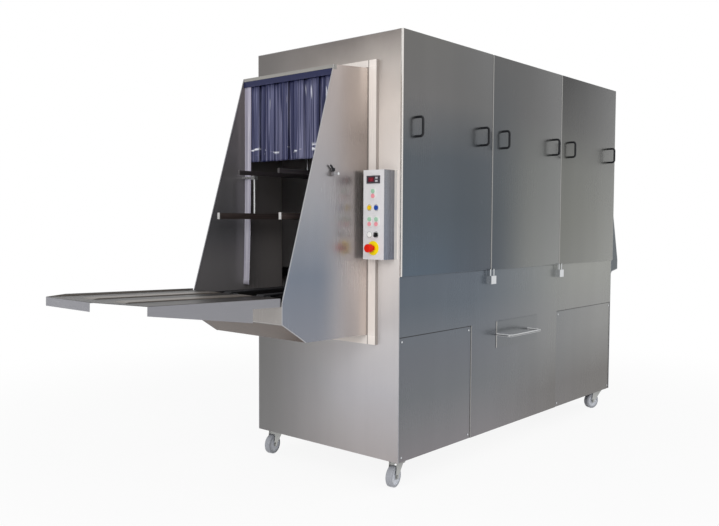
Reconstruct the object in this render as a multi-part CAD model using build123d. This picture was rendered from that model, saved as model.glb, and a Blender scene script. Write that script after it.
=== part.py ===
"""Container tunnel washer on castors: cabinet, hoods, conveyor, wash system, controls and loading table."""
import os
from math import atan2, cos, radians, sin

from build123d import *

os.makedirs("parts", exist_ok=True)

# Cabinet: X runs along the travel from infeed to outfeed, the door side faces -Y
CABINET_LENGTH = 2288.0
CABINET_WIDTH = 952.0
CABINET_HEIGHT = 1980.0
SHEET = 2.0
TUBE = 40.0
SKIN_DEPTH = 10.0
ROOF_BEND = 10.0
ROOF_RETURN = 10.0
PANEL_GAP = 4.0
FIT_GAP = 0.3
RUN_FIT = 0.05

# Heights above the cabinet's underside
SILL_HEIGHT = 862.0
PANEL_HEIGHT = 583.0
CONVEYOR_HEIGHT = 793.0
FLOOR_HEIGHT = 612.0

# Lift-off doors
DOOR_COUNT = 3
DOOR_PROUD = 12.0
DOOR_FLANGE = 25.0
DOOR_OVERLAP = 25.0
DOOR_HANDLE_SPREAD = 560.0
DOOR_HANDLE_HEIGHT = 1550.0
DOOR_HANDLE_SPAN = 88.0
DOOR_HANDLE_REACH = 40.0
DOOR_HANDLE_BAR = 6.0
DOOR_HANDLE_BEND = 14.0
CATCH_WIDTH = 48.0
CATCH_HEIGHT = 43.0
CATCH_DEPTH = 30.0
CATCH_DROP = 29.0
CATCH_FINGER = 8.0
CATCH_FINGER_RISE = 6.0
CATCH_FINGER_PITCH = 32.0

# Service panels and filter drawer on the door side
INFEED_PANEL_LENGTH = 600.0
OUTFEED_PANEL_LENGTH = 762.0
PANEL_INSET = 3.0
SCREW_HEAD = 5.0
SCREW_HEAD_HEIGHT = 3.0
SCREW_INSET = 22.0
DRAWER_START = 840.0
DRAWER_WIDTH = 441.0
DRAWER_HEIGHT = 142.0
DRAWER_LIP = 8.0
DRAWER_PROUD = 3.0
DRAWER_DEPTH = 800.0
DRAWER_SLOTS = 9
DRAWER_SLOT_STARTS = (0.08, 0.54)
DRAWER_SLOT_SHARE = 0.38
DRAWER_SLOT_WIDTH = 14.0
DRAWER_HANDLE_LENGTH = 325.0
DRAWER_HANDLE_OFFSET = 8.0
DRAWER_HANDLE_REACH = 85.0
DRAWER_HANDLE_BAR = 7.0
DRAWER_HANDLE_BEND = 20.0
RUNNER_WIDTH = 20.0
RUNNER_HEIGHT = 12.0

# Hoods: reaches are measured out from the end wall, heights above the cabinet's underside
HOOD_WIDTH = 600.0
HOOD_TOP_REACH = 255.0
HOOD_TOP_DROP = 156.0
HOOD_TOP_FALL = 19.0
HOOD_TOP_REAR = CABINET_HEIGHT - HOOD_TOP_DROP
HOOD_TOP_FRONT = HOOD_TOP_REAR - HOOD_TOP_FALL
HOOD_LIP = 15.0
HOOD_REAR_LOW = 584.0
INFEED_REACH = 569.0
INFEED_EDGE_LOW = 771.0
INFEED_NOSE_LOW = 682.0
INFEED_CHIN_REACH = 426.0
INFEED_CHIN_LOW = 591.0
OUTFEED_REACH = 512.0
OUTFEED_EDGE_LOW = 843.0
OUTFEED_NOSE_LOW = 777.0
OUTFEED_TAIL_REACH = 417.0
OUTFEED_TAIL_LOW = 762.0
OUTFEED_CHIN_REACH = 256.0
COLLAR_WIDTH = 50.0
COLLAR_DEPTH = 20.0
COLLAR_ABOVE = 33.0
COLLAR_BELOW = 44.0

# Strip curtains
CURTAIN_SETBACK = 16.0
CURTAIN_RAIL = 27.0
CURTAIN_RAIL_HEIGHT = 36.0
CURTAIN_RAIL_SEAT = 1.0
CURTAIN_DROP = 405.0
CURTAIN_BOTTOM = HOOD_TOP_FRONT - CURTAIN_DROP
STRIP_COUNT = 12
STRIP_OVERLAP = 6.0
STRIP_SAG = 6.0
STRIP_SHEET = 2.0
STRIP_CLEARANCE = 1.0
STRIP_UNEVEN = 5.0
STRIP_WAVE = 2.4
LONG_STRIP_BOTTOM = 803.0

# Side guides, hold-down rails and their carriers
GUIDE_HALF_GAP = 205.0
GUIDE_THICKNESS = 12.0
GUIDE_HEIGHT = 28.0
GUIDE_TOP = 1151.0
GUIDE_OVERHANG = 35.0
HANGER_REACH = 264.0
HANGER_HEIGHT = 1324.0
HANGER_ROD = 6.0
DROP_ROD = 5.0
HANGER_BLOCK = 22.0
HANGER_STUB = 20.0
BOSS_RADIUS = 11.0
BOSS_LENGTH = 20.0
LEVER_STUD = 4.0
LEVER_HEIGHT = 14.0
LEVER_LENGTH = 28.0
LEVER_HUB = 7.0
LEVER_ARM = 8.0
LEVER_ARM_HEIGHT = 7.4
LEVER_ROUND = 2.7
LEVER_RISE = 45.0
HOLD_DOWN_HALF_GAP = 133.0
HOLD_DOWN_WIDTH = 12.0
HOLD_DOWN_DEPTH = 20.0
HOLD_DOWN_TOP = 1347.0
HOLD_DOWN_ROD = 6.0

# Conveyor
CHAIN_HALF_GAP = 110.0
CHAIN_WIDTH = 50.0
CHAIN_THICKNESS = 6.0
CHAIN_WHEEL = 45.0
SHAFT_RADIUS = 15.0
IDLER_SETBACK = 73.0
IDLER_REACH = INFEED_REACH - IDLER_SETBACK
DRIVE_REACH = 156.0
RAIL_HALF_GAP = 190.0
RAIL_PLATE = 6.0
RAIL_HEIGHT = 90.0
RAIL_DROP = 5.0
RAIL_NOSE = 50.0
RAIL_IN_REACH = IDLER_REACH + RAIL_NOSE
RAIL_OUT_REACH = 340.0
TIE_RADIUS = 10.0
TIE_COUNT = 5
TIE_MARGIN = 0.75
BEARING_SIZE = 64.0
BEARING_LENGTH = 22.0
FOOT_LENGTH = 60.0
GEARBOX_LENGTH = 120.0
GEARBOX_WIDTH = 90.0
GEARBOX_HEIGHT = 120.0
MOTOR_RADIUS = 58.0
MOTOR_LENGTH = 210.0

# Wash system
TANK_IN = 604.0
TANK_OUT = 774.0
TANK_SIDE_GAP = 6.0
SUCTION_LENGTH = 60.0
PIPE = 17.0
FITTING = 44.0
SPRAY_TOP = 1560.0
SPRAY_LOW = 652.0
WASH_FRAMES = 3
WASH_FRAME_PITCH = 220.0
RINSE_FRAME_END = 524.0
NOZZLE_RADIUS = 8.0
NOZZLE_LENGTH = 14.0
NOZZLE_PITCH = 130.0
PUMP_RADIUS = 110.0
PUMP_LENGTH = 80.0
PUMP_AXIS_HEIGHT = 202.0
PUMP_SIDE = 200.0
PUMP_MOTOR_RADIUS = 85.0
PUMP_MOTOR_LENGTH = 240.0
PUMP_FOOT = 10.0
SUCTION_RADIUS = 30.0
RISER_RADIUS = 24.0
HEATER_COUNT = 3
HEATER_ROD = 6.0
HEATER_LENGTH = 420.0
HEATER_BEND = 30.0
HEATER_BEND_RADIUS = 27.0
HEATER_HEIGHT = 170.0
HEATER_PITCH = 110.0
HEATER_FLANGE = 110.0
HEATER_FLANGE_DEPTH = 14.0

# Service connections
INLET_RADIUS = 13.2
DRAIN_RADIUS = 25.0
SPIGOT_LENGTH = 60.0
SPIGOT_FLANGE = 10.0
SPIGOT_FLANGE_DEPTH = 4.0
INLET_HEIGHT = 1072.0
DRAIN_HEIGHT = 100.0
DRAIN_INSET = 170.0
GLAND_RADIUS = 16.0
GLAND_HEX = 20.0
GLAND_BORE = 8.0
GLAND_LENGTH = 30.0
GLAND_SIDE = 300.0
GLAND_HEIGHT = 272.0

# Control box on the infeed end wall
BOX_WIDTH = 120.0
BOX_HEIGHT = 406.0
BOX_DEPTH = 80.0
BOX_SIDE = 328.0
BOX_LOW = 942.0
BOX_FLANGE = 14.0
BOX_FLANGE_DEPTH = 3.0
FACE_SHEET = 2.0
DISPLAY_WIDTH = 77.0
DISPLAY_HEIGHT = 35.0
DISPLAY_PROUD = 6.0
DISPLAY_EDGE = 1.5
WINDOW_WIDTH = 36.0
WINDOW_HEIGHT = 21.0
WINDOW_OFFSET = 10.5
WINDOW_DEPTH = 1.0
KEY_WIDTH = 13.5
KEY_HEIGHT = 9.0
KEY_OFFSET = 22.0
KEY_PITCH = 14.0
KEY_PROUD = 1.0
BUTTON_RADIUS = 11.0
BEZEL_RADIUS = 15.0
BEZEL_PROUD = 4.0
BUTTON_PROUD = 9.0
BUTTON_TRAVEL = 3.0
BUTTON_ROUND = 1.5
BUTTON_PITCH = 40.0
DOUBLE_HEIGHT = 52.0
DOUBLE_PITCH = 22.0
DOUBLE_BUTTON = 9.5
LAMP_PROUD = 8.0
LAMP_ROUND = 4.4
KNOB_PROUD = 20.0
KNOB_GRIP = 7.0
KNOB_GRIP_LENGTH = 20.0
KNOB_BASE_PROUD = 7.5
STOP_DISC = 32.0
STOP_DISC_PROUD = 3.0
STOP_HEAD = 19.0
STOP_HEAD_DEPTH = 26.0
STOP_HEAD_ROUND = 7.0
STOP_PROUD = 47.0
STOP_STEM = 11.0
ROW_DISPLAY = 44.0
ROW_START = 107.0
ROW_ROUND = 171.0
ROW_DOUBLE = 234.0
ROW_KNOB = 293.0
ROW_STOP = 354.0

# Castors
WHEEL_RADIUS = 50.0
WHEEL_WIDTH = 32.0
WHEEL_ROUND = 5.0
WHEEL_DISH = 35.0
HUB_RADIUS = 13.0
CASTOR_HEIGHT = 128.0
CASTOR_TRAIL = 36.0
CASTOR_INSET_X = 70.0
CASTOR_INSET_Y = 62.0
CASTOR_PLATE_X = 105.0
CASTOR_PLATE_Y = 85.0
CASTOR_PLATE = 4.0
KING_PIN = 7.0
KING_PIN_HEAD = 11.0
AXLE_RADIUS = 5.0
FORK_PLATE = 3.0
FORK_GAP = 3.0
FORK_CROWN = 40.0
FORK_CROWN_HEIGHT = 12.0
FORK_BACK = 34.0
FORK_FRONT = 38.0
FORK_EYE = 13.0
FORK_EYE_LOW = 39.0
FORK_EYE_HALF = 8.0
NUT_HEIGHT = 5.0
NUT_RADIUS = 8.0

# Loading table
TABLE_LENGTH = 719.0
TABLE_WIDTH = 590.0
TABLE_SLOPE = 1.4
TABLE_GAP = 2.0
TABLE_APRON_OUTER = 36.0
TABLE_APRON_INNER = 111.0
TABLE_FAR_APRON = 36.0
TABLE_RIM = 8.0
TABLE_RIM_TAPER = 82.0
TABLE_CORNER_X = 71.0
TABLE_CORNER_Y = 268.0
TABLE_RIB_WIDTH = 75.0
TABLE_RIB_HEIGHT = 4.0
TABLE_RIB_START = 20.0
TABLE_NOTCH_LENGTH = 150.0
TABLE_NOTCH_DEPTH = 37.0
HOOK_WIDTH = 60.0
HOOK_SIDE = 200.0
HOOK_THICKNESS = 3.0
HOOK_GRIP = 28.0
HOOK_CLEARANCE = 3.0

# Places worked out from the sizes above
X_IN = -CABINET_LENGTH / 2
X_OUT = CABINET_LENGTH / 2
Y_DOOR = -CABINET_WIDTH / 2
Y_FAR = CABINET_WIDTH / 2
Z_LOW = CASTOR_HEIGHT
Z_TOP = Z_LOW + CABINET_HEIGHT
FRAME_Y = CABINET_WIDTH / 2 - SKIN_DEPTH
INNER_Y = FRAME_Y - TUBE
FRAME_IN = X_IN + SHEET
FRAME_OUT = X_OUT - SHEET
DOOR_PITCH = CABINET_LENGTH / DOOR_COUNT
HOOD_Y = HOOD_WIDTH / 2
HOOD_INNER = HOOD_Y - SHEET
Z_SILL = Z_LOW + SILL_HEIGHT
Z_PANEL = Z_LOW + PANEL_HEIGHT
Z_BELT = Z_LOW + CONVEYOR_HEIGHT
Z_FLOOR = Z_LOW + FLOOR_HEIGHT
Z_SHAFT = Z_BELT - CHAIN_THICKNESS - FIT_GAP - CHAIN_WHEEL
INFEED_PANEL_END = X_IN + INFEED_PANEL_LENGTH
OUTFEED_PANEL_START = X_OUT - OUTFEED_PANEL_LENGTH
DRAWER_X0 = X_IN + DRAWER_START
DRAWER_X1 = DRAWER_X0 + DRAWER_WIDTH
DRAWER_Z1 = Z_PANEL
DRAWER_Z0 = DRAWER_Z1 - DRAWER_HEIGHT
TANK_X0 = X_IN + TANK_IN
TANK_X1 = X_OUT - TANK_OUT
TANK_Y = INNER_Y - TANK_SIDE_GAP
PUMP_X1 = TANK_X0 - SUCTION_LENGTH - PUMP_LENGTH
RISER_X = PUMP_X1 + PUMP_LENGTH / 2
Z_PUMP = Z_LOW + PUMP_AXIS_HEIGHT
RINSE_X = X_OUT - RINSE_FRAME_END
Z_INLET = Z_LOW + INLET_HEIGHT
DRAIN_X = TANK_X1 - DRAIN_INSET
Z_DRAIN = Z_LOW + DRAIN_HEIGHT
IDLER_X = X_IN - IDLER_REACH
DRIVE_X = X_OUT + DRIVE_REACH
X_FACE = X_IN - BOX_DEPTH - FACE_SHEET
Y_FACE = -(BOX_SIDE + BOX_WIDTH / 2)
Z_FACE_TOP = Z_LOW + BOX_LOW + BOX_HEIGHT
BUTTON_TAIL = X_IN - BOX_DEPTH + 2 * BUTTON_TRAVEL
Z_CROWN = Z_LOW - CASTOR_PLATE - FIT_GAP
Y_TABLE_HALF = TABLE_WIDTH / 2
TABLE_END_X = X_IN - INFEED_REACH - TABLE_GAP
DRAWER_GRIP_Y = Y_DOOR - DRAWER_PROUD - DRAWER_HANDLE_REACH
SPIGOT_Y = Y_FAR + SPIGOT_FLANGE_DEPTH + SPIGOT_LENGTH

# The frame's origin: on the floor, in the middle of the plan outline
TABLE_TIP_X = (TABLE_END_X - TABLE_LENGTH * cos(radians(TABLE_SLOPE))
               - TABLE_APRON_OUTER * sin(radians(TABLE_SLOPE)))
ORIGIN_X = (TABLE_TIP_X + X_OUT + OUTFEED_REACH) / 2
ORIGIN_Y = (DRAWER_GRIP_Y - DRAWER_HANDLE_BAR + SPIGOT_Y) / 2


def box(x0, x1, y0, y1, z0, z1):
    """A block between two corners."""
    return Pos((x0 + x1) / 2, (y0 + y1) / 2, (z0 + z1) / 2) * Box(abs(x1 - x0), abs(y1 - y0), abs(z1 - z0))


def rod_x(x0, x1, y, z, radius):
    """A round bar along X."""
    return Pos((x0 + x1) / 2, y, z) * Rot(0, 90, 0) * Cylinder(radius, abs(x1 - x0))


def rod_y(x, y0, y1, z, radius):
    """A round bar along Y."""
    return Pos(x, (y0 + y1) / 2, z) * Rot(90, 0, 0) * Cylinder(radius, abs(y1 - y0))


def rod_z(x, y, z0, z1, radius):
    """A round bar along Z."""
    return Pos(x, y, (z0 + z1) / 2) * Cylinder(radius, abs(z1 - z0))


def plate_y(points, y0, y1):
    """An outline in X and Z, carried from y0 to y1."""
    face = make_face(Polyline(*points, close=True))
    return Pos(0, max(y0, y1), 0) * extrude(Plane.XZ * face, abs(y1 - y0))


def folded_sheet(points, y0, y1):
    """The flats of a bent sheet along a line in X and Z, meeting at mitres on the line's right side."""
    turns = [atan2(b[1] - a[1], b[0] - a[0]) for a, b in zip(points, points[1:])]
    inner = []
    for i, (x, z) in enumerate(points):
        if 0 < i < len(points) - 1:
            mean = (turns[i - 1] + turns[i]) / 2
            reach = SHEET / cos((turns[i] - turns[i - 1]) / 2)
            inner.append((x + reach * sin(mean), z - reach * cos(mean)))
        else:
            turn = turns[0] if i == 0 else turns[-1]
            level = abs(cos(turn)) > abs(sin(turn))
            inner.append((x, z - SHEET / cos(turn)) if level else (x + SHEET / sin(turn), z))
    flats = []
    for i in range(len(points) - 1):
        flats.append(plate_y([points[i], points[i + 1], inner[i + 1], inner[i]], y0, y1))
    return flats


def bar_handle(span, reach, bar, bend):
    """A round bar bent to a U: legs along -Y from the origin plane, grip along X, centred."""
    half = span / 2
    path = FilletPolyline((-half, 0, 0), (-half, -reach, 0), (half, -reach, 0), (half, 0, 0), radius=bend)
    return sweep(Plane((-half, 0, 0), z_dir=(0, -1, 0)) * Circle(bar), path=path)


def save(node, *shapes):
    """Writes one node in the frame whose origin is the middle of the plan outline."""
    solids = []
    for shape in shapes:
        solids.extend(shape.solids())
    moved = [Pos(-ORIGIN_X, -ORIGIN_Y, 0) * solid for solid in solids]
    export_step(moved[0] if len(moved) == 1 else Compound(children=moved), f"parts/{node}.step")


def frame():
    """The welded tube frame: base, posts and rails."""
    tubes = []
    base = (Z_LOW, Z_LOW + TUBE)
    top = (Z_TOP - SHEET - TUBE, Z_TOP - SHEET)
    sill = (Z_SILL - TUBE, Z_SILL)
    posts = [FRAME_IN, FRAME_OUT - TUBE]
    for joint in range(1, DOOR_COUNT):
        posts.append(X_IN + joint * DOOR_PITCH - TUBE / 2)
    for side in (-1, 1):
        outer, inner = side * FRAME_Y, side * INNER_Y
        for z0, z1 in (base, top):
            tubes.append(box(FRAME_IN, FRAME_OUT, outer, inner, z0, z1))
        for x in posts:
            tubes.append(box(x, x + TUBE, outer, inner, base[1], top[0]))
        ordered = sorted(posts)
        for left, right in zip(ordered, ordered[1:]):
            tubes.append(box(left + TUBE, right, outer, inner, *sill))
    for x in (FRAME_IN, FRAME_OUT - TUBE, *posts[2:]):
        for z0, z1 in (base, top):
            tubes.append(box(x, x + TUBE, -INNER_Y, INNER_Y, z0, z1))
    stud = INFEED_PANEL_END - TUBE / 2
    panel = (Z_PANEL - TUBE / 2, Z_PANEL + TUBE / 2)
    tubes.append(box(stud, stud + TUBE, -FRAME_Y, -INNER_Y, base[1], sill[0]))
    tubes.append(box(FRAME_IN + TUBE, stud, -FRAME_Y, -INNER_Y, *panel))
    last = max(posts[2:]) + TUBE
    tubes.append(box(last, FRAME_OUT - TUBE, -FRAME_Y, -INNER_Y, *panel))
    for x in (PUMP_X1 - PUMP_MOTOR_LENGTH, PUMP_X1 - TUBE):
        tubes.append(box(x, x + TUBE, -INNER_Y, INNER_Y, *base))
    return tubes


def end_wall(x0, x1):
    """One end wall with the tunnel opening and a bent top corner on the closed side."""
    wall = box(x0, x1, Y_DOOR, Y_FAR, Z_LOW, Z_TOP)
    corner = wall.edges().filter_by(Axis.X).sort_by(lambda e: e.center().Y + e.center().Z)[-1]
    wall = fillet(corner, ROOF_BEND)
    opening = box(x0 - 1, x1 + 1, -HOOD_INNER, HOOD_INNER, Z_LOW + HOOD_REAR_LOW + SHEET,
                  Z_LOW + HOOD_TOP_REAR - SHEET)
    return wall - opening


def roof_panel():
    """The roof sheet, bent down along the closed side."""
    edge = Y_FAR - ROOF_BEND
    low = Z_TOP - ROOF_BEND
    outer = [Line((Y_DOOR, Z_TOP), (edge, Z_TOP)), RadiusArc((edge, Z_TOP), (Y_FAR, low), ROOF_BEND)]
    outer.append(Line((Y_FAR, low), (Y_FAR, low - ROOF_RETURN)))
    outer.append(Line((Y_FAR, low - ROOF_RETURN), (Y_FAR - SHEET, low - ROOF_RETURN)))
    outer.append(Line((Y_FAR - SHEET, low - ROOF_RETURN), (Y_FAR - SHEET, low)))
    outer.append(RadiusArc((Y_FAR - SHEET, low), (edge, Z_TOP - SHEET), -(ROOF_BEND - SHEET)))
    outer.append(Line((edge, Z_TOP - SHEET), (Y_DOOR, Z_TOP - SHEET)))
    outer.append(Line((Y_DOOR, Z_TOP - SHEET), (Y_DOOR, Z_TOP)))
    return Pos(FRAME_IN, 0, 0) * extrude(Plane.YZ * make_face(outer), FRAME_OUT - FRAME_IN)


def tray(x0, x1, z0, z1, y_face, y_back):
    """A sheet panel with returns on all four edges, open towards y_back."""
    inward = 1 if y_back > y_face else -1
    shell = box(x0, x1, y_face, y_back, z0, z1)
    return shell - box(x0 + SHEET, x1 - SHEET, y_face + inward * SHEET, y_back + inward,
                       z0 + SHEET, z1 - SHEET)


def lower_skin():
    """The fixed skin below the doors, with returns round the service openings and the drawer opening."""
    face, inside, seat = Y_DOOR, Y_DOOR + SHEET, Y_DOOR + SKIN_DEPTH
    top = Z_SILL + DOOR_OVERLAP
    skin = box(FRAME_IN, FRAME_OUT, face, inside, Z_PANEL, top)
    skin += box(INFEED_PANEL_END, OUTFEED_PANEL_START, face, inside, Z_LOW, Z_PANEL)
    skin += box(FRAME_IN, INFEED_PANEL_END, inside, seat, Z_PANEL, Z_PANEL + SHEET)
    skin += box(OUTFEED_PANEL_START, FRAME_OUT, inside, seat, Z_PANEL, Z_PANEL + SHEET)
    skin += box(INFEED_PANEL_END, INFEED_PANEL_END + SHEET, inside, seat, Z_LOW, Z_PANEL + SHEET)
    skin += box(OUTFEED_PANEL_START - SHEET, OUTFEED_PANEL_START, inside, seat, Z_LOW, Z_PANEL + SHEET)
    skin += box(FRAME_IN, FRAME_OUT, inside, seat, top - SHEET, top)
    hole = box(DRAWER_X0 + DRAWER_LIP, DRAWER_X1 - DRAWER_LIP, face - 1, inside + 1,
               DRAWER_Z0 + DRAWER_LIP, DRAWER_Z1 - DRAWER_LIP)
    return skin - hole


def far_panels():
    """The closed side: an upper and a lower row of fixed trays, with holes for the two spigots."""
    panels = []
    top = Z_TOP - ROOF_BEND - ROOF_RETURN - PANEL_GAP / 2
    rows = ((Z_LOW, Z_SILL - PANEL_GAP / 2), (Z_SILL + PANEL_GAP / 2, top))
    for i in range(DOOR_COUNT):
        x0 = X_IN + i * DOOR_PITCH + (SHEET if i == 0 else PANEL_GAP / 2)
        x1 = X_IN + (i + 1) * DOOR_PITCH - (SHEET if i == DOOR_COUNT - 1 else PANEL_GAP / 2)
        for z0, z1 in rows:
            panel = tray(x0, x1, z0, z1, Y_FAR, Y_FAR - SKIN_DEPTH)
            for x, z, radius in ((RINSE_X, Z_INLET, INLET_RADIUS), (DRAIN_X, Z_DRAIN, DRAIN_RADIUS)):
                if x0 < x < x1 and z0 < z < z1:
                    panel -= rod_y(x, Y_FAR - SKIN_DEPTH - 1, Y_FAR + 1, z, radius)
            panels.append(panel)
    return panels


def service_panels():
    """The two slightly set-back trays that cover the pump and the electrical compartments."""
    face, seat = Y_DOOR + PANEL_INSET, Y_DOOR + SKIN_DEPTH
    top = Z_PANEL - FIT_GAP
    infeed = tray(FRAME_IN, INFEED_PANEL_END - FIT_GAP, Z_LOW, top, face, seat)
    outfeed = tray(OUTFEED_PANEL_START + FIT_GAP, FRAME_OUT, Z_LOW, top, face, seat)
    return infeed, outfeed


def panel_screws():
    """Button-head screws in the corners of both service panels."""
    screws = []
    y0 = Y_DOOR + PANEL_INSET
    for x0, x1 in ((FRAME_IN, INFEED_PANEL_END), (OUTFEED_PANEL_START, FRAME_OUT)):
        for x in (x0 + SCREW_INSET, x1 - SCREW_INSET):
            for z in (Z_LOW + SCREW_INSET, Z_PANEL - SCREW_INSET):
                head = rod_y(x, y0 - SCREW_HEAD_HEIGHT, y0, z, SCREW_HEAD)
                rim = head.edges().sort_by(Axis.Y)[0]
                screws.append(fillet(rim, SCREW_HEAD_HEIGHT / 2))
    return screws


def door_span(index):
    """The left and right edges of one door."""
    x0 = X_IN + index * DOOR_PITCH
    return x0 + (0 if index == 0 else PANEL_GAP / 2), x0 + DOOR_PITCH - (
        0 if index == DOOR_COUNT - 1 else PANEL_GAP / 2)


def door(index):
    """A lift-off door: a shallow tray whose top flange hooks over the roof's edge."""
    x0, x1 = door_span(index)
    face, back = Y_DOOR - DOOR_PROUD, Y_DOOR - FIT_GAP
    leaf = tray(x0, x1, Z_SILL, Z_TOP + SHEET, face, back)
    return leaf + box(x0, x1, back - SHEET, Y_DOOR + DOOR_FLANGE, Z_TOP, Z_TOP + SHEET)


def door_handles(index):
    """The two bridge handles of one door."""
    x0, x1 = door_span(index)
    handles = []
    for side in (-1, 1):
        x = (x0 + x1) / 2 + side * DOOR_HANDLE_SPREAD / 2
        place = Pos(x, Y_DOOR - DOOR_PROUD, Z_LOW + DOOR_HANDLE_HEIGHT)
        grip = bar_handle(DOOR_HANDLE_SPAN, DOOR_HANDLE_REACH, DOOR_HANDLE_BAR, DOOR_HANDLE_BEND)
        handles.append(place * Rot(0, 90, 0) * grip)
    return handles


def door_catches():
    """Under each door joint, a block with two fingers that stand in front of the doors' lower edges."""
    catches = []
    y_finger = Y_DOOR - DOOR_PROUD - CATCH_FINGER
    z1 = Z_SILL - CATCH_DROP
    for joint in range(1, DOOR_COUNT):
        x = X_IN + joint * DOOR_PITCH
        catch = box(x - CATCH_WIDTH / 2, x + CATCH_WIDTH / 2, Y_DOOR - CATCH_DEPTH, Y_DOOR,
                    z1 - CATCH_HEIGHT, z1)
        for side in (-1, 1):
            centre = x + side * CATCH_FINGER_PITCH / 2
            catch += box(centre - CATCH_FINGER / 2, centre + CATCH_FINGER / 2, y_finger,
                         y_finger + CATCH_FINGER / 2, z1, Z_SILL + CATCH_FINGER_RISE)
        catches.append(catch)
    return catches


def filter_drawer():
    """The filter tray: front, two sides, back and a slotted floor."""
    x0, x1 = DRAWER_X0 + DRAWER_LIP + SHEET, DRAWER_X1 - DRAWER_LIP - SHEET
    z0, z1 = DRAWER_Z0 + DRAWER_LIP + SHEET, DRAWER_Z1 - DRAWER_LIP - SHEET
    y0 = Y_DOOR - FIT_GAP
    y1 = y0 + DRAWER_DEPTH
    front = box(DRAWER_X0, DRAWER_X1, Y_DOOR - DRAWER_PROUD, y0, DRAWER_Z0, DRAWER_Z1)
    floor = box(x0, x1, y0, y1, z0, z0 + SHEET)
    pitch = (x1 - x0) / (DRAWER_SLOTS + 1)
    for i in range(1, DRAWER_SLOTS + 1):
        x = x0 + i * pitch
        for start in DRAWER_SLOT_STARTS:
            slot = y0 + start * DRAWER_DEPTH
            floor -= box(x - DRAWER_SLOT_WIDTH / 2, x + DRAWER_SLOT_WIDTH / 2, slot,
                         slot + DRAWER_SLOT_SHARE * DRAWER_DEPTH, z0 - 1, z0 + SHEET + 1)
    sides = [box(x0, x0 + SHEET, y0, y1, z0 + SHEET, z1), box(x1 - SHEET, x1, y0, y1, z0 + SHEET, z1)]
    back = box(x0 + SHEET, x1 - SHEET, y1 - SHEET, y1, z0 + SHEET, z1)
    return front, floor, *sides, back


def drawer_handle():
    """The polished bar on the drawer front."""
    x = DRAWER_X0 + DRAWER_HANDLE_OFFSET + DRAWER_HANDLE_LENGTH / 2
    z = (DRAWER_Z0 + DRAWER_Z1) / 2
    grip = bar_handle(DRAWER_HANDLE_LENGTH, DRAWER_HANDLE_REACH, DRAWER_HANDLE_BAR, DRAWER_HANDLE_BEND)
    return Pos(x, Y_DOOR - DRAWER_PROUD, z) * grip


def drawer_runners():
    """Two bars across the tank that carry the drawer."""
    z1 = DRAWER_Z0 + DRAWER_LIP + SHEET - FIT_GAP
    runners = []
    for x in (DRAWER_X0 + DRAWER_LIP + SHEET, DRAWER_X1 - DRAWER_LIP - SHEET - RUNNER_WIDTH):
        runners.append(box(x, x + RUNNER_WIDTH, -TANK_Y + SHEET, TANK_Y - SHEET, z1 - RUNNER_HEIGHT, z1))
    return runners


def hood_lines(out, reach_points):
    """Turns reaches and heights into X and Z, for the infeed (out = -1) or the outfeed (out = 1)."""
    wall = X_IN if out < 0 else X_OUT
    return [(wall + out * reach, Z_LOW + height) for reach, height in reach_points]


def infeed_lines():
    """Top line and underside line of the infeed hood."""
    top = [(0, HOOD_TOP_REAR), (HOOD_TOP_REACH, HOOD_TOP_FRONT)]
    low = [(INFEED_REACH, INFEED_EDGE_LOW), (INFEED_REACH, INFEED_NOSE_LOW),
           (INFEED_CHIN_REACH, INFEED_CHIN_LOW), (0, HOOD_REAR_LOW)]
    return hood_lines(-1, top), hood_lines(-1, low)


def outfeed_lines():
    """Top line and underside line of the outfeed hood."""
    top = [(0, HOOD_TOP_REAR), (HOOD_TOP_REACH, HOOD_TOP_FRONT)]
    low = [(OUTFEED_REACH, OUTFEED_EDGE_LOW), (OUTFEED_REACH, OUTFEED_NOSE_LOW),
           (OUTFEED_TAIL_REACH, OUTFEED_TAIL_LOW), (OUTFEED_CHIN_REACH, HOOD_REAR_LOW), (0, HOOD_REAR_LOW)]
    return hood_lines(1, top), hood_lines(1, low)


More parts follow.
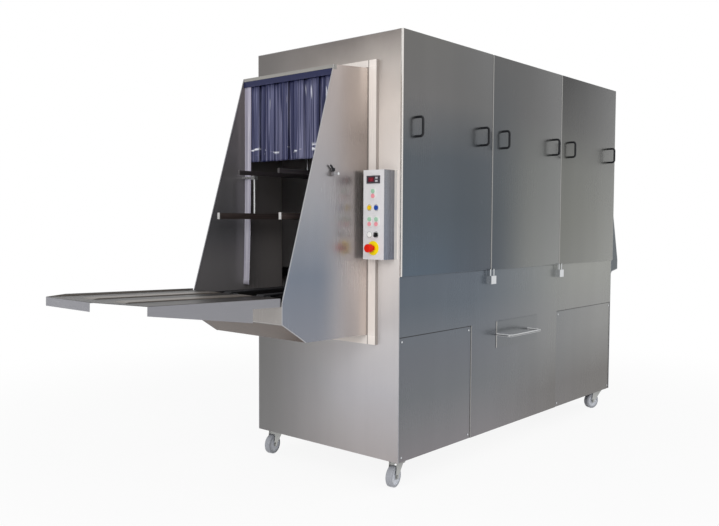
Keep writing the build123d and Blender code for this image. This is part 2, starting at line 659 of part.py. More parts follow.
def hood(out, lines):
    """A welded hood: two side plates, the lipped top, the drip pan, the wall collar and the curtain rail."""
    top, low = lines
    wall = X_IN if out < 0 else X_OUT
    pieces = []
    for side in (-1, 1):
        side_plate = plate_y(top + low, side * HOOD_INNER, side * HOOD_Y)
        x, z = wall + out * HANGER_REACH, Z_LOW + HANGER_HEIGHT
        side_plate -= rod_y(x, side * (HOOD_INNER - 1), side * (HOOD_Y + 1), z, HANGER_ROD + RUN_FIT)
        if out > 0 and side > 0:
            side_plate -= rod_y(DRIVE_X, HOOD_INNER - 1, HOOD_Y + 1, Z_SHAFT, SHAFT_RADIUS + SHEET)
        pieces.append(side_plate)
        boss = rod_y(x, side * HOOD_Y, side * (HOOD_Y + BOSS_LENGTH), z, BOSS_RADIUS)
        boss -= rod_y(x, side * HOOD_Y, side * (HOOD_Y + BOSS_LENGTH), z, HANGER_ROD + RUN_FIT)
        if out < 0:
            middle = HOOD_Y + BOSS_LENGTH / 2
            boss -= rod_z(x, side * middle, z + HANGER_ROD, z + 2 * BOSS_RADIUS, LEVER_STUD + RUN_FIT)
        pieces.append(boss)
    top_line = [*top, (top[1][0], top[1][1] - HOOD_LIP)]
    pan_line = low[1:]
    if out < 0:
        top_line = top_line[::-1]
        pan_line = low[::-1]
    pieces += folded_sheet(top_line, -HOOD_INNER, HOOD_INNER)
    pieces += folded_sheet(pan_line, -HOOD_INNER, HOOD_INNER)
    x0, x1 = wall, wall + out * COLLAR_DEPTH
    z0, z1 = low[-1][1], top[0][1]
    for side in (-1, 1):
        pieces.append(box(x0, x1, side * HOOD_Y, side * (HOOD_Y + COLLAR_WIDTH),
                          z0 - COLLAR_BELOW, z1 + COLLAR_ABOVE))
    pieces.append(box(x0, x1, -HOOD_Y, HOOD_Y, z1, z1 + COLLAR_ABOVE))
    pieces.append(box(x0, x1, -HOOD_Y, HOOD_Y, z0 - COLLAR_BELOW, z0))
    rail_x, rail_top = curtain_rail_place(out)
    pieces.append(box(rail_x - CURTAIN_RAIL / 2, rail_x + CURTAIN_RAIL / 2, -HOOD_INNER, HOOD_INNER,
                      rail_top - CURTAIN_RAIL_HEIGHT, rail_top))
    return pieces


def curtain_rail_place(out):
    """X of the curtain rail's middle and the height of its top, just under the hood's top."""
    wall = X_IN if out < 0 else X_OUT
    reach = HOOD_TOP_REACH - CURTAIN_SETBACK
    rise = (HOOD_TOP_REAR - HOOD_TOP_FRONT) / HOOD_TOP_REACH
    top = Z_LOW + HOOD_TOP_FRONT + rise * (CURTAIN_SETBACK - CURTAIN_RAIL / 2)
    top -= SHEET + CURTAIN_RAIL_SEAT
    return wall + out * reach, top


def curved_strip(width, sag, bottom, top):
    """A hanging strip with a bowed section, its width along Y, centred, bowed towards -X."""
    half = width / 2
    front = ThreePointArc((0, -half), (-sag, 0), (0, half))
    back = ThreePointArc((STRIP_SHEET, half), (STRIP_SHEET - sag, 0), (STRIP_SHEET, -half))
    ends = [Line((0, half), (STRIP_SHEET, half)), Line((STRIP_SHEET, -half), (0, -half))]
    return Pos(0, 0, bottom) * extrude(make_face([front, ends[0], back, ends[1]]), top - bottom)


def curtain(out):
    """Overlapping strips in two layers; the outermost strip on each side is a long one, in front of them."""
    rail_x, rail_top = curtain_rail_place(out)
    top = rail_top - CURTAIN_RAIL_HEIGHT
    span = 2 * (HOOD_INNER - FIT_GAP)
    pitch = span / STRIP_COUNT
    step = STRIP_SAG + STRIP_SHEET + STRIP_CLEARANCE
    strips = []
    for i in range(STRIP_COUNT):
        y = -span / 2 + (i + 0.5) * pitch
        long = i in (0, STRIP_COUNT - 1)
        layer = -1 if long else i % 2
        width = pitch if long else pitch + STRIP_OVERLAP
        bottom = LONG_STRIP_BOTTOM if long else CURTAIN_BOTTOM + STRIP_UNEVEN * sin(STRIP_WAVE * i)
        strip = curved_strip(width, STRIP_SAG, Z_LOW + bottom, top)
        strips.append(Pos(rail_x - out * layer * step, y, 0) * Rot(0, 0, 0 if out < 0 else 180) * strip)
    return strips


def guide(side):
    """One side guide: the rail, and at each hood a drop rod, a block and a cross rod through the hood."""
    y_in, y_out = side * GUIDE_HALF_GAP, side * (GUIDE_HALF_GAP + GUIDE_THICKNESS)
    z1 = Z_LOW + GUIDE_TOP
    y_mid = (y_in + y_out) / 2
    z_rod = Z_LOW + HANGER_HEIGHT
    slant = (INFEED_REACH - HOOD_TOP_REACH) / (HOOD_TOP_FRONT - INFEED_EDGE_LOW)
    edge = HOOD_TOP_REACH + slant * (HOOD_TOP_FRONT - GUIDE_TOP)
    x0, x1 = X_IN - edge - GUIDE_OVERHANG, X_OUT + HANGER_REACH + GUIDE_OVERHANG
    pieces = [box(x0, x1, y_in, y_out, z1 - GUIDE_HEIGHT, z1)]
    half = HANGER_BLOCK / 2
    y_end = side * (HOOD_Y + BOSS_LENGTH + HANGER_STUB)
    for wall, out in ((X_IN, -1), (X_OUT, 1)):
        x = wall + out * HANGER_REACH
        pieces.append(rod_z(x, y_mid, z1, z_rod - half, DROP_ROD))
        pieces.append(box(x - half, x + half, y_mid - half, y_mid + half, z_rod - half, z_rod + half))
        pieces.append(rod_y(x, y_mid + side * half, y_end, z_rod, HANGER_ROD))
    return pieces


def clamp_lever(side):
    """The lever whose stud locks a guide's cross rod in the infeed hood's boss."""
    x = X_IN - HANGER_REACH
    y = side * (HOOD_Y + BOSS_LENGTH / 2)
    z0 = Z_LOW + HANGER_HEIGHT + HANGER_ROD + FIT_GAP
    z1 = Z_LOW + HANGER_HEIGHT + BOSS_RADIUS + FIT_GAP
    lever = rod_z(x, y, z0, z1 + 1, LEVER_STUD)
    lever += rod_z(x, y, z1, z1 + LEVER_HEIGHT, LEVER_HUB)
    half = LEVER_ARM / 2
    arm = fillet(box(-LEVER_LENGTH, 0, -half, half, -half, half).edges(), LEVER_ROUND)
    return lever + Pos(x, y, z1 + LEVER_ARM_HEIGHT) * Rot(0, LEVER_RISE, 0) * arm


def hold_down_rails():
    """Two rails over the crates, hung on rods from the frame's top cross tubes."""
    pieces = []
    z1 = Z_LOW + HOLD_DOWN_TOP
    slant = (INFEED_REACH - HOOD_TOP_REACH) / (HOOD_TOP_FRONT - INFEED_EDGE_LOW)
    edge = HOOD_TOP_REACH + slant * (HOOD_TOP_FRONT - HOLD_DOWN_TOP)
    hangers = [FRAME_IN + TUBE / 2, FRAME_OUT - TUBE / 2]
    for joint in range(1, DOOR_COUNT):
        hangers.append(X_IN + joint * DOOR_PITCH)
    for side in (-1, 1):
        y = side * HOLD_DOWN_HALF_GAP
        pieces.append(box(X_IN - edge - GUIDE_OVERHANG, X_OUT + HANGER_REACH, y - HOLD_DOWN_WIDTH / 2,
                          y + HOLD_DOWN_WIDTH / 2, z1 - HOLD_DOWN_DEPTH, z1))
        for x in hangers:
            pieces.append(rod_z(x, y, z1, Z_TOP - SHEET - TUBE, HOLD_DOWN_ROD))
    return pieces


def conveyor_rails():
    """The conveyor's side plates on feet, their cross ties and the shaft bearings."""
    z1 = Z_BELT - RAIL_DROP
    z0 = z1 - RAIL_HEIGHT
    pieces = []
    x0, x1 = X_IN - RAIL_IN_REACH, X_OUT + RAIL_OUT_REACH
    for side in (-1, 1):
        y0, y1 = side * RAIL_HALF_GAP, side * (RAIL_HALF_GAP + RAIL_PLATE)
        rail = box(x0, x1, y0, y1, z0, z1)
        for x in (IDLER_X, DRIVE_X):
            rail -= rod_y(x, y0 - side, y1 + side, Z_SHAFT, SHAFT_RADIUS + SHEET)
            block = box(x - BEARING_SIZE / 2, x + BEARING_SIZE / 2, y1, y1 + side * BEARING_LENGTH,
                        Z_SHAFT - BEARING_SIZE / 2, Z_SHAFT + BEARING_SIZE / 2)
            block -= rod_y(x, y1 - side, y1 + side * (BEARING_LENGTH + 1), Z_SHAFT, SHAFT_RADIUS + RUN_FIT)
            pieces.append(block)
        pieces.append(rail)
        for x in (FRAME_IN + TUBE, TANK_X0 - FOOT_LENGTH, TANK_X1, FRAME_OUT - TUBE - FOOT_LENGTH):
            pieces.append(box(x, x + FOOT_LENGTH, y0, y1, Z_FLOOR, z0))
    for i in range(TIE_COUNT):
        x = x0 + (i + TIE_MARGIN) * (x1 - x0) / (TIE_COUNT - 1 + 2 * TIE_MARGIN)
        pieces.append(rod_y(x, -RAIL_HALF_GAP, RAIL_HALF_GAP, Z_SHAFT, TIE_RADIUS))
    return pieces


def conveyor_chains():
    """Two endless flat chains round the drive and idler wheels."""
    inner = CHAIN_WHEEL + FIT_GAP
    outer = inner + CHAIN_THICKNESS
    length = DRIVE_X - IDLER_X
    middle = (DRIVE_X + IDLER_X) / 2
    face = SlotCenterToCenter(length, 2 * outer) - SlotCenterToCenter(length, 2 * inner)
    chains = []
    for side in (-1, 1):
        y = side * CHAIN_HALF_GAP + CHAIN_WIDTH / 2
        chains.append(Pos(middle, y, Z_SHAFT) * extrude(Plane.XZ * face, CHAIN_WIDTH))
    return chains


def chain_shaft(x, y_end):
    """A shaft with the two chain wheels on it."""
    bearing = RAIL_HALF_GAP + RAIL_PLATE + BEARING_LENGTH
    shaft = rod_y(x, -bearing, y_end, Z_SHAFT, SHAFT_RADIUS)
    for side in (-1, 1):
        y = side * CHAIN_HALF_GAP
        shaft += rod_y(x, y - CHAIN_WIDTH / 2, y + CHAIN_WIDTH / 2, Z_SHAFT, CHAIN_WHEEL)
    return shaft


def gearmotor():
    """Hollow-shaft gearbox on the far outfeed plate, with its motor alongside."""
    y0, y1 = HOOD_Y, HOOD_Y + GEARBOX_WIDTH
    gearbox = box(DRIVE_X - GEARBOX_LENGTH / 2, DRIVE_X + GEARBOX_LENGTH / 2, y0, y1,
                  Z_SHAFT - GEARBOX_HEIGHT / 2, Z_SHAFT + GEARBOX_HEIGHT / 2)
    gearbox = fillet(gearbox.edges().filter_by(Axis.Y), SKIN_DEPTH)
    gearbox -= rod_y(DRIVE_X, y0 - 1, y1 + 1, Z_SHAFT, SHAFT_RADIUS + RUN_FIT)
    x0 = DRIVE_X + GEARBOX_LENGTH / 2
    motor = rod_x(x0, x0 + MOTOR_LENGTH, y0 + MOTOR_RADIUS + PANEL_GAP, Z_SHAFT, MOTOR_RADIUS)
    return gearbox, motor


def wash_tank():
    """The tank's plates, with the drawer opening in the near wall, and the chamber floor at both ends."""
    z0, z1 = Z_LOW + TUBE, Z_FLOOR
    y_in = TANK_Y - SHEET
    pieces = [box(TANK_X0, TANK_X1, -TANK_Y, TANK_Y, z0, z0 + SHEET)]
    infeed = box(TANK_X0, TANK_X0 + SHEET, -TANK_Y, TANK_Y, z0 + SHEET, z1)
    infeed -= rod_x(TANK_X0 - 1, TANK_X0 + SHEET + 1, -PUMP_SIDE, Z_PUMP, SUCTION_RADIUS - SHEET)
    pieces += [infeed, box(TANK_X1 - SHEET, TANK_X1, -TANK_Y, TANK_Y, z0 + SHEET, z1)]
    far = box(TANK_X0 + SHEET, TANK_X1 - SHEET, y_in, TANK_Y, z0 + SHEET, z1)
    pieces.append(far - rod_y(DRAIN_X, y_in - 1, TANK_Y + 1, Z_DRAIN, DRAIN_RADIUS - 2 * SHEET))
    x0, x1 = DRAWER_X0 + DRAWER_LIP, DRAWER_X1 - DRAWER_LIP
    low, high = DRAWER_Z0 + DRAWER_LIP + SHEET - FIT_GAP, DRAWER_Z1 - DRAWER_LIP
    left, right = TANK_X0 + SHEET, TANK_X1 - SHEET
    beside = ((left, x0, low, high), (x1, right, low, high))
    for start, end, bottom, top in ((left, right, z0 + SHEET, low), *beside, (left, right, high, z1)):
        pieces.append(box(start, end, -TANK_Y, -y_in, bottom, top))
    floor = box(FRAME_IN, TANK_X0, -TANK_Y, TANK_Y, z1 - SHEET, z1)
    pieces.append(floor - rod_z(RISER_X, -PUMP_SIDE, z1 - SHEET - 1, z1 + 1, RISER_RADIUS + SHEET))
    pieces.append(box(TANK_X1, FRAME_OUT, -TANK_Y, TANK_Y, z1 - SHEET, z1))
    for side in (-1, 1):
        for x in (FRAME_IN, FRAME_OUT - TUBE):
            pieces.append(box(x, x + TUBE, side * TANK_Y, side * INNER_Y, z1 - SHEET, z1))
    return pieces


def tank_heaters():
    """Hairpin elements on a flange each, through the tank's outfeed wall."""
    pieces = []
    z = Z_LOW + HEATER_HEIGHT
    for i in range(HEATER_COUNT):
        y = (i - (HEATER_COUNT - 1) / 2) * HEATER_PITCH
        pieces.append(box(TANK_X1, TANK_X1 + HEATER_FLANGE_DEPTH, y - HEATER_PITCH / 2 + SHEET,
                          y + HEATER_PITCH / 2 - SHEET, z - HEATER_FLANGE / 2, z + HEATER_FLANGE / 2))
        x0, x1 = TANK_X1 - SHEET, TANK_X1 - HEATER_LENGTH
        low, high = z - HEATER_BEND, z + HEATER_BEND
        legs = [(x0, y, low), (x1, y, low), (x1, y, high), (x0, y, high)]
        path = FilletPolyline(*legs, radius=HEATER_BEND_RADIUS)
        pieces.append(sweep(Plane(legs[0], z_dir=(-1, 0, 0)) * Circle(HEATER_ROD), path=path))
    return pieces


def wash_pump():
    """Close-coupled pump: volute with suction pipe and discharge neck, then the motor on its foot."""
    z_neck = Z_PUMP + PUMP_RADIUS + SUCTION_RADIUS
    volute = rod_x(PUMP_X1, PUMP_X1 + PUMP_LENGTH, -PUMP_SIDE, Z_PUMP, PUMP_RADIUS)
    volute += rod_z(RISER_X, -PUMP_SIDE, Z_PUMP, z_neck, RISER_RADIUS)
    volute += rod_x(PUMP_X1 + PUMP_LENGTH - 1, TANK_X0, -PUMP_SIDE, Z_PUMP, SUCTION_RADIUS)
    x0 = PUMP_X1 - PUMP_MOTOR_LENGTH
    motor = rod_x(x0, PUMP_X1, -PUMP_SIDE, Z_PUMP, PUMP_MOTOR_RADIUS)
    motor += box(x0, PUMP_X1, -PUMP_SIDE - PUMP_MOTOR_RADIUS, -PUMP_SIDE + PUMP_MOTOR_RADIUS, Z_LOW + TUBE,
                 Z_LOW + TUBE + PUMP_FOOT)
    motor += box(x0 + TUBE, PUMP_X1 - TUBE, -PUMP_SIDE - TUBE, -PUMP_SIDE + TUBE, Z_LOW + TUBE, Z_PUMP)
    return volute, motor


def nozzle_row(start, end, place, pointing):
    """Nozzles spaced evenly along a pipe from start to end."""
    count = max(1, int((end - start) / NOZZLE_PITCH))
    step = (end - start) / count
    reach = PIPE + NOZZLE_LENGTH
    row = []
    for i in range(count):
        x, y, z = place(start + (i + 0.5) * step)
        dx, dy, dz = pointing
        if dz:
            row.append(rod_z(x, y, z, z + dz * reach, NOZZLE_RADIUS))
        else:
            row.append(rod_y(x, y, y + dy * reach, z, NOZZLE_RADIUS))
    return row


def spray_frame(x, extra_blocks):
    """Pipes round the tunnel at x: block fittings at corners and sill height, nozzles inwards."""
    y = INNER_Y - FITTING / 2
    half = FITTING / 2
    low, sill, top = Z_LOW + SPRAY_LOW, Z_SILL - TUBE / 2, Z_LOW + SPRAY_TOP
    pieces = []
    for z, up in ((low, 1), (top, -1)):
        stops = [-y + half, y - half]
        for block_y, block_z in extra_blocks:
            if block_z == z:
                stops[1:1] = [block_y - half, block_y + half]
        for start, end in zip(stops[::2], stops[1::2]):
            pipe = rod_y(x, start, end, z, PIPE)
            for nozzle in nozzle_row(start, end, lambda s: (x, s, z), (0, 0, up)):
                pipe += nozzle
            pieces.append(pipe)
    for side in (-1, 1):
        levels = [low, sill, top]
        levels += [block_z for block_y, block_z in extra_blocks if block_y == side * y]
        levels.sort()
        for z in levels:
            pieces.append(Pos(x, side * y, z) * Box(FITTING, FITTING, FITTING))
        for start, end in zip(levels, levels[1:]):
            pipe = rod_z(x, side * y, start + half, end - half, PIPE)
            for nozzle in nozzle_row(start + half, end - half, lambda s: (x, side * y, s), (0, -side, 0)):
                pipe += nozzle
            pieces.append(pipe)
    for block_y, block_z in extra_blocks:
        if abs(block_y) < y:
            pieces.append(Pos(x, block_y, block_z) * Box(FITTING, FITTING, FITTING))
    return pieces


def spray_pipes():
    """The wash frames on one header with the pump's riser, and the rinse frame."""
    y = INNER_Y - FITTING / 2
    low = Z_LOW + SPRAY_LOW
    pieces = []
    for i in range(WASH_FRAMES):
        x = RISER_X + i * WASH_FRAME_PITCH
        pieces += spray_frame(x, [(-PUMP_SIDE, low)] if i == 0 else [])
        if i:
            start = x - WASH_FRAME_PITCH + FITTING / 2
            pieces.append(rod_x(start, x - FITTING / 2, y, Z_SILL - TUBE / 2, PIPE))
    neck = Z_PUMP + PUMP_RADIUS + SUCTION_RADIUS
    pieces.append(rod_z(RISER_X, -PUMP_SIDE, neck, low - FITTING / 2, RISER_RADIUS))
    pieces += spray_frame(RINSE_X, [(y, Z_INLET)])
    return pieces


def spigot(x, y_start, z, radius):
    """A pipe from inside the machine, a flange on the closed side's skin and the spigot outside it."""
    pipe = rod_y(x, y_start, Y_FAR, z, radius - SHEET)
    pipe += rod_y(x, Y_FAR, Y_FAR + SPIGOT_FLANGE_DEPTH, z, radius + SPIGOT_FLANGE)
    return pipe + rod_y(x, Y_FAR + SPIGOT_FLANGE_DEPTH, SPIGOT_Y, z, radius)


def cable_gland():
    """The gland for the supply cable on the outfeed end wall."""
    y, z = GLAND_SIDE, Z_LOW + GLAND_HEIGHT
    gland = rod_x(X_OUT, X_OUT + GLAND_LENGTH, y, z, GLAND_RADIUS)
    gland += Pos(X_OUT + SPIGOT_FLANGE / 2, y, z) * Rot(0, 90, 0) * extrude(
        RegularPolygon(GLAND_HEX, 6), SPIGOT_FLANGE / 2, both=True)
    return gland - rod_x(X_OUT - 1, X_OUT + GLAND_LENGTH + 1, y, z, GLAND_BORE)


def control_box():
    """The box shell with its wall flange, notched where it stands over the hood's collar."""
    y0, y1 = -(BOX_SIDE + BOX_WIDTH), -BOX_SIDE
    z0, z1 = Z_LOW + BOX_LOW, Z_FACE_TOP
    front = X_IN - BOX_DEPTH
    shell = box(front, X_IN, y0, y1, z0, z1)
    shell += box(X_IN - BOX_FLANGE_DEPTH, X_IN, y0 - BOX_FLANGE, y0, z0, z1)
    step = X_IN - COLLAR_DEPTH - FIT_GAP
    shell -= box(step, X_IN + 1, -(HOOD_Y + COLLAR_WIDTH + FIT_GAP), y1 + 1, z0 - 1, z1 + 1)
    back = step - SHEET
    return shell - box(front - 1, back, y0 + SHEET, y1 - SHEET, z0 + SHEET, z1 - SHEET)


def face_rod(offset, row, x0, x1, radius):
    """A round piece square to the control face."""
    return rod_x(x0, x1, Y_FACE + offset, Z_FACE_TOP - row, radius)


def round_places():
    """Offsets and rows of the round bezels: two push buttons, the lamp and the selector."""
    half = BUTTON_PITCH / 2
    return [(half, ROW_ROUND), (-half, ROW_ROUND), (half, ROW_KNOB), (-half, ROW_KNOB)]


def double_places():
    """Offsets and rows of the double push buttons."""
    half = BUTTON_PITCH / 2
    return [(0, ROW_START), (half, ROW_DOUBLE), (-half, ROW_DOUBLE)]


def button_places():
    """Every bore through the face with its radius."""
    bores = [(offset, row, BUTTON_RADIUS) for offset, row in round_places() if row == ROW_ROUND]
    for offset, row in double_places():
        bores.append((offset, row - DOUBLE_PITCH / 2, DOUBLE_BUTTON))
        bores.append((offset, row + DOUBLE_PITCH / 2, DOUBLE_BUTTON))
    bores.append((-BUTTON_PITCH / 2, ROW_KNOB, STOP_STEM))
    bores.append((0, ROW_STOP, STOP_STEM))
    return bores


def control_face():
    """The front plate with a bore for every actuator."""
    half = BOX_WIDTH / 2
    plate = box(X_FACE, X_FACE + FACE_SHEET, Y_FACE - half, Y_FACE + half, Z_LOW + BOX_LOW, Z_FACE_TOP)
    for offset, row, radius in button_places():
        plate -= face_rod(offset, row, X_FACE - 1, X_FACE + FACE_SHEET + 1, radius + FIT_GAP)
    return plate


def display_unit():
    """The panel thermostat: bezel with a recessed window and two keys."""
    y, z = Y_FACE, Z_FACE_TOP - ROW_DISPLAY
    half_w, half_h = DISPLAY_WIDTH / 2, DISPLAY_HEIGHT / 2
    body = box(X_FACE - DISPLAY_PROUD, X_FACE, y - half_w, y + half_w, z - half_h, z + half_h)
    body = chamfer(body.faces().sort_by(Axis.X)[0].edges(), DISPLAY_EDGE)
    front = X_FACE - DISPLAY_PROUD
    middle = y + WINDOW_OFFSET
    body -= box(front - 1, front + WINDOW_DEPTH, middle - WINDOW_WIDTH / 2, middle + WINDOW_WIDTH / 2,
                z - WINDOW_HEIGHT / 2, z + WINDOW_HEIGHT / 2)
    middle = y - KEY_OFFSET
    for side in (-1, 1):
        key_z = z + side * KEY_PITCH / 2
        body += box(front - KEY_PROUD, front, middle - KEY_WIDTH / 2, middle + KEY_WIDTH / 2,
                    key_z - KEY_HEIGHT / 2, key_z + KEY_HEIGHT / 2)
    return body


def button_bezels():
    """Bezel rings, double button housings, the lamp lens and the disc behind the stop button."""
    x0 = X_FACE - BEZEL_PROUD
    pieces = []
    for offset, row in round_places():
        ring = face_rod(offset, row, x0, X_FACE, BEZEL_RADIUS)
        pieces.append(ring - face_rod(offset, row, x0 - 1, X_FACE + 1, BUTTON_RADIUS + FIT_GAP))
    for offset, row in double_places():
        oval = Rot(0, 0, 90) * SlotOverall(DOUBLE_HEIGHT, 2 * BEZEL_RADIUS)
        place = Plane((X_FACE, Y_FACE + offset, Z_FACE_TOP - row), x_dir=(0, 1, 0), z_dir=(-1, 0, 0))
        housing = extrude(place * oval, BEZEL_PROUD)
        for side in (-1, 1):
            middle = row + side * DOUBLE_PITCH / 2
            housing -= face_rod(offset, middle, x0 - 1, X_FACE + 1, DOUBLE_BUTTON + FIT_GAP)
        pieces.append(housing)
    return pieces


def pilot_lamp():
    """The lens of the pilot lamp."""
    lens = face_rod(BUTTON_PITCH / 2, ROW_KNOB, X_FACE - LAMP_PROUD, X_FACE, BUTTON_RADIUS)
    return fillet(lens.edges().sort_by(Axis.X)[0], LAMP_ROUND)


def push_button(offset, row, radius):
    """A push button whose tail runs through the face into the box."""
    button = face_rod(offset, row, X_FACE - BUTTON_PROUD, BUTTON_TAIL, radius)
    return fillet(button.edges().sort_by(Axis.X)[0], BUTTON_ROUND)


def selector_knob():
    """The rotary selector: a round base with a grip bar across it."""
    offset, row = -BUTTON_PITCH / 2, ROW_KNOB
    knob = face_rod(offset, row, X_FACE - KNOB_BASE_PROUD, BUTTON_TAIL, STOP_STEM)
    y, z = Y_FACE + offset, Z_FACE_TOP - row
    return knob + box(X_FACE - KNOB_PROUD, X_FACE - BEZEL_PROUD, y - KNOB_GRIP / 2, y + KNOB_GRIP / 2,
                      z - KNOB_GRIP_LENGTH / 2, z + KNOB_GRIP_LENGTH / 2)


def stop_disc():
    """The round plate behind the stop button."""
    disc = face_rod(0, ROW_STOP, X_FACE - STOP_DISC_PROUD, X_FACE, STOP_DISC)
    return disc - face_rod(0, ROW_STOP, X_FACE - STOP_DISC_PROUD - 1, X_FACE + 1, STOP_STEM + FIT_GAP)


def stop_button():
    """The mushroom-headed stop button."""
    x0, x1 = X_FACE - STOP_PROUD, X_FACE - STOP_PROUD + STOP_HEAD_DEPTH
    head = face_rod(0, ROW_STOP, x0, x1, STOP_HEAD)
    head = fillet(head.edges().sort_by(Axis.X)[0], STOP_HEAD_ROUND)
    return head + face_rod(0, ROW_STOP, x1 - 1, BUTTON_TAIL, STOP_STEM)


CASTORS = {
    "infeed_door": (X_IN + CASTOR_INSET_X, Y_DOOR + CASTOR_INSET_Y, 190.0),
    "infeed_far": (X_IN + CASTOR_INSET_X, Y_FAR - CASTOR_INSET_Y, 190.0),
    "outfeed_door": (X_OUT - CASTOR_INSET_X, Y_DOOR + CASTOR_INSET_Y, 160.0),
    "outfeed_far": (X_OUT - CASTOR_INSET_X, Y_FAR - CASTOR_INSET_Y, 200.0),
}


def castor_plates():
    """Top plates with their king pins and retaining washers."""
    plates = []
    z_pin = Z_CROWN - FORK_CROWN_HEIGHT - FIT_GAP
    for x, y, turn in CASTORS.values():
        plate = Pos(x, y, Z_LOW - CASTOR_PLATE / 2) * Box(CASTOR_PLATE_X, CASTOR_PLATE_Y, CASTOR_PLATE)
        plate += rod_z(x, y, z_pin - CASTOR_PLATE / 2, Z_LOW - CASTOR_PLATE / 2, KING_PIN)
        plates.append(plate + rod_z(x, y, z_pin - CASTOR_PLATE / 2, z_pin, KING_PIN_HEAD))
    return plates


def castor_fork(x, y, turn):
    """The swivelling fork and the axle bolt with its nuts."""
    z1, z0 = Z_CROWN, Z_CROWN - FORK_CROWN_HEIGHT
    crown = rod_z(0, 0, z0, z1, FORK_CROWN)
    leg_y = WHEEL_WIDTH / 2 + FORK_GAP
    outline = [(-FORK_BACK, z0 + FORK_PLATE), (FORK_FRONT, z0 + FORK_PLATE),
               (CASTOR_TRAIL + FORK_EYE, WHEEL_RADIUS), (CASTOR_TRAIL + FORK_EYE_HALF, FORK_EYE_LOW),
               (CASTOR_TRAIL - FORK_EYE_HALF, FORK_EYE_LOW), (CASTOR_TRAIL - FORK_EYE, WHEEL_RADIUS)]
    axle_end = leg_y + FORK_PLATE
    axle = rod_y(CASTOR_TRAIL, -axle_end, axle_end, WHEEL_RADIUS, AXLE_RADIUS)
    for side in (-1, 1):
        leg = plate_y(outline, side * leg_y, side * axle_end)
        crown += leg - axle
        axle += rod_y(CASTOR_TRAIL, side * axle_end, side * (axle_end + NUT_HEIGHT), WHEEL_RADIUS, NUT_RADIUS)
    crown -= rod_z(0, 0, z0 - 1, z1 + 1, KING_PIN + RUN_FIT)
    place = Pos(x, y, 0) * Rot(0, 0, turn)
    return place * crown, place * axle


def castor_wheel(x, y, turn):
    """A wheel with rounded shoulders and dished sides."""
    half = WHEEL_WIDTH / 2
    wheel = rod_y(CASTOR_TRAIL, -half, half, WHEEL_RADIUS, WHEEL_RADIUS)
    wheel = fillet(wheel.edges().filter_by(GeomType.CIRCLE), WHEEL_ROUND)
    for side in (-1, 1):
        dish = rod_y(CASTOR_TRAIL, side * (half - FORK_GAP), side * (half + 1), WHEEL_RADIUS, WHEEL_DISH)
        wheel -= dish - rod_y(CASTOR_TRAIL, -half - 2, half + 2, WHEEL_RADIUS, HUB_RADIUS)
    wheel -= rod_y(CASTOR_TRAIL, -half - 1, half + 1, WHEEL_RADIUS, AXLE_RADIUS + RUN_FIT)
    return Pos(x, y, 0) * Rot(0, 0, turn) * wheel


def table_place():
    """The table's inner top edge, tilted up towards its outer end."""
    return Pos(TABLE_END_X, 0, Z_BELT) * Rot(0, TABLE_SLOPE, 0)


def loading_table():
    """The hook-on table: top sheet, aprons, far rim, slide ribs and the hook flange. X runs inwards."""
    half = Y_TABLE_HALF
    corner = TABLE_LENGTH - TABLE_CORNER_X
    top_line = [(0, -half), (-corner, -half), (-TABLE_LENGTH, -half + TABLE_CORNER_Y),
                (-TABLE_LENGTH, half - SHEET), (0, half - SHEET)]
    top = Pos(0, 0, -SHEET) * extrude(make_face(Polyline(*top_line, close=True)), SHEET)
    fall = (TABLE_APRON_INNER - TABLE_APRON_OUTER) / corner
    notch = TABLE_NOTCH_LENGTH
    low = [(-corner, -TABLE_APRON_OUTER), (-notch, -TABLE_APRON_INNER + fall * notch),
           (-notch, -TABLE_NOTCH_DEPTH), (0, -TABLE_NOTCH_DEPTH)]
    near = plate_y([(0, -SHEET), (-corner, -SHEET), *low], -half, -half + SHEET)
    rim = [(0, TABLE_RIM), (-TABLE_LENGTH + TABLE_RIM_TAPER, TABLE_RIM), (-TABLE_LENGTH, 0)]
    far = plate_y([*rim, (-TABLE_LENGTH, -TABLE_FAR_APRON), (0, -TABLE_FAR_APRON)], half - SHEET, half)
    end = box(-TABLE_LENGTH, -TABLE_LENGTH + SHEET, -half + TABLE_CORNER_Y, half - SHEET,
              -TABLE_APRON_OUTER, -SHEET)
    flange = box(-SHEET, 0, -half + SHEET, half - SHEET, -TABLE_NOTCH_DEPTH, -SHEET)
    seat = INFEED_EDGE_LOW - CONVEYOR_HEIGHT + FIT_GAP
    reach = TABLE_GAP + SHEET + HOOK_CLEARANCE
    for side in (-1, 1):
        y0, y1 = side * HOOK_SIDE - HOOK_WIDTH / 2, side * HOOK_SIDE + HOOK_WIDTH / 2
        flange += box(-SHEET, reach + HOOK_THICKNESS, y0, y1, seat, seat + HOOK_THICKNESS)
        flange += box(reach, reach + HOOK_THICKNESS, y0, y1, seat - HOOK_GRIP, seat)
    ribs = []
    rise = 3 * TABLE_RIB_HEIGHT
    run = [(-TABLE_RIB_START, 0), (-TABLE_RIB_START - rise, TABLE_RIB_HEIGHT),
           (-corner + 2 * rise, TABLE_RIB_HEIGHT), (-corner, 0)]
    for side in (-1, 1):
        y = side * CHAIN_HALF_GAP
        ribs.append(plate_y(run, y - TABLE_RIB_WIDTH / 2, y + TABLE_RIB_WIDTH / 2))
    place = table_place()
    return [place * piece for piece in (top, near, far, end, flange, *ribs)]


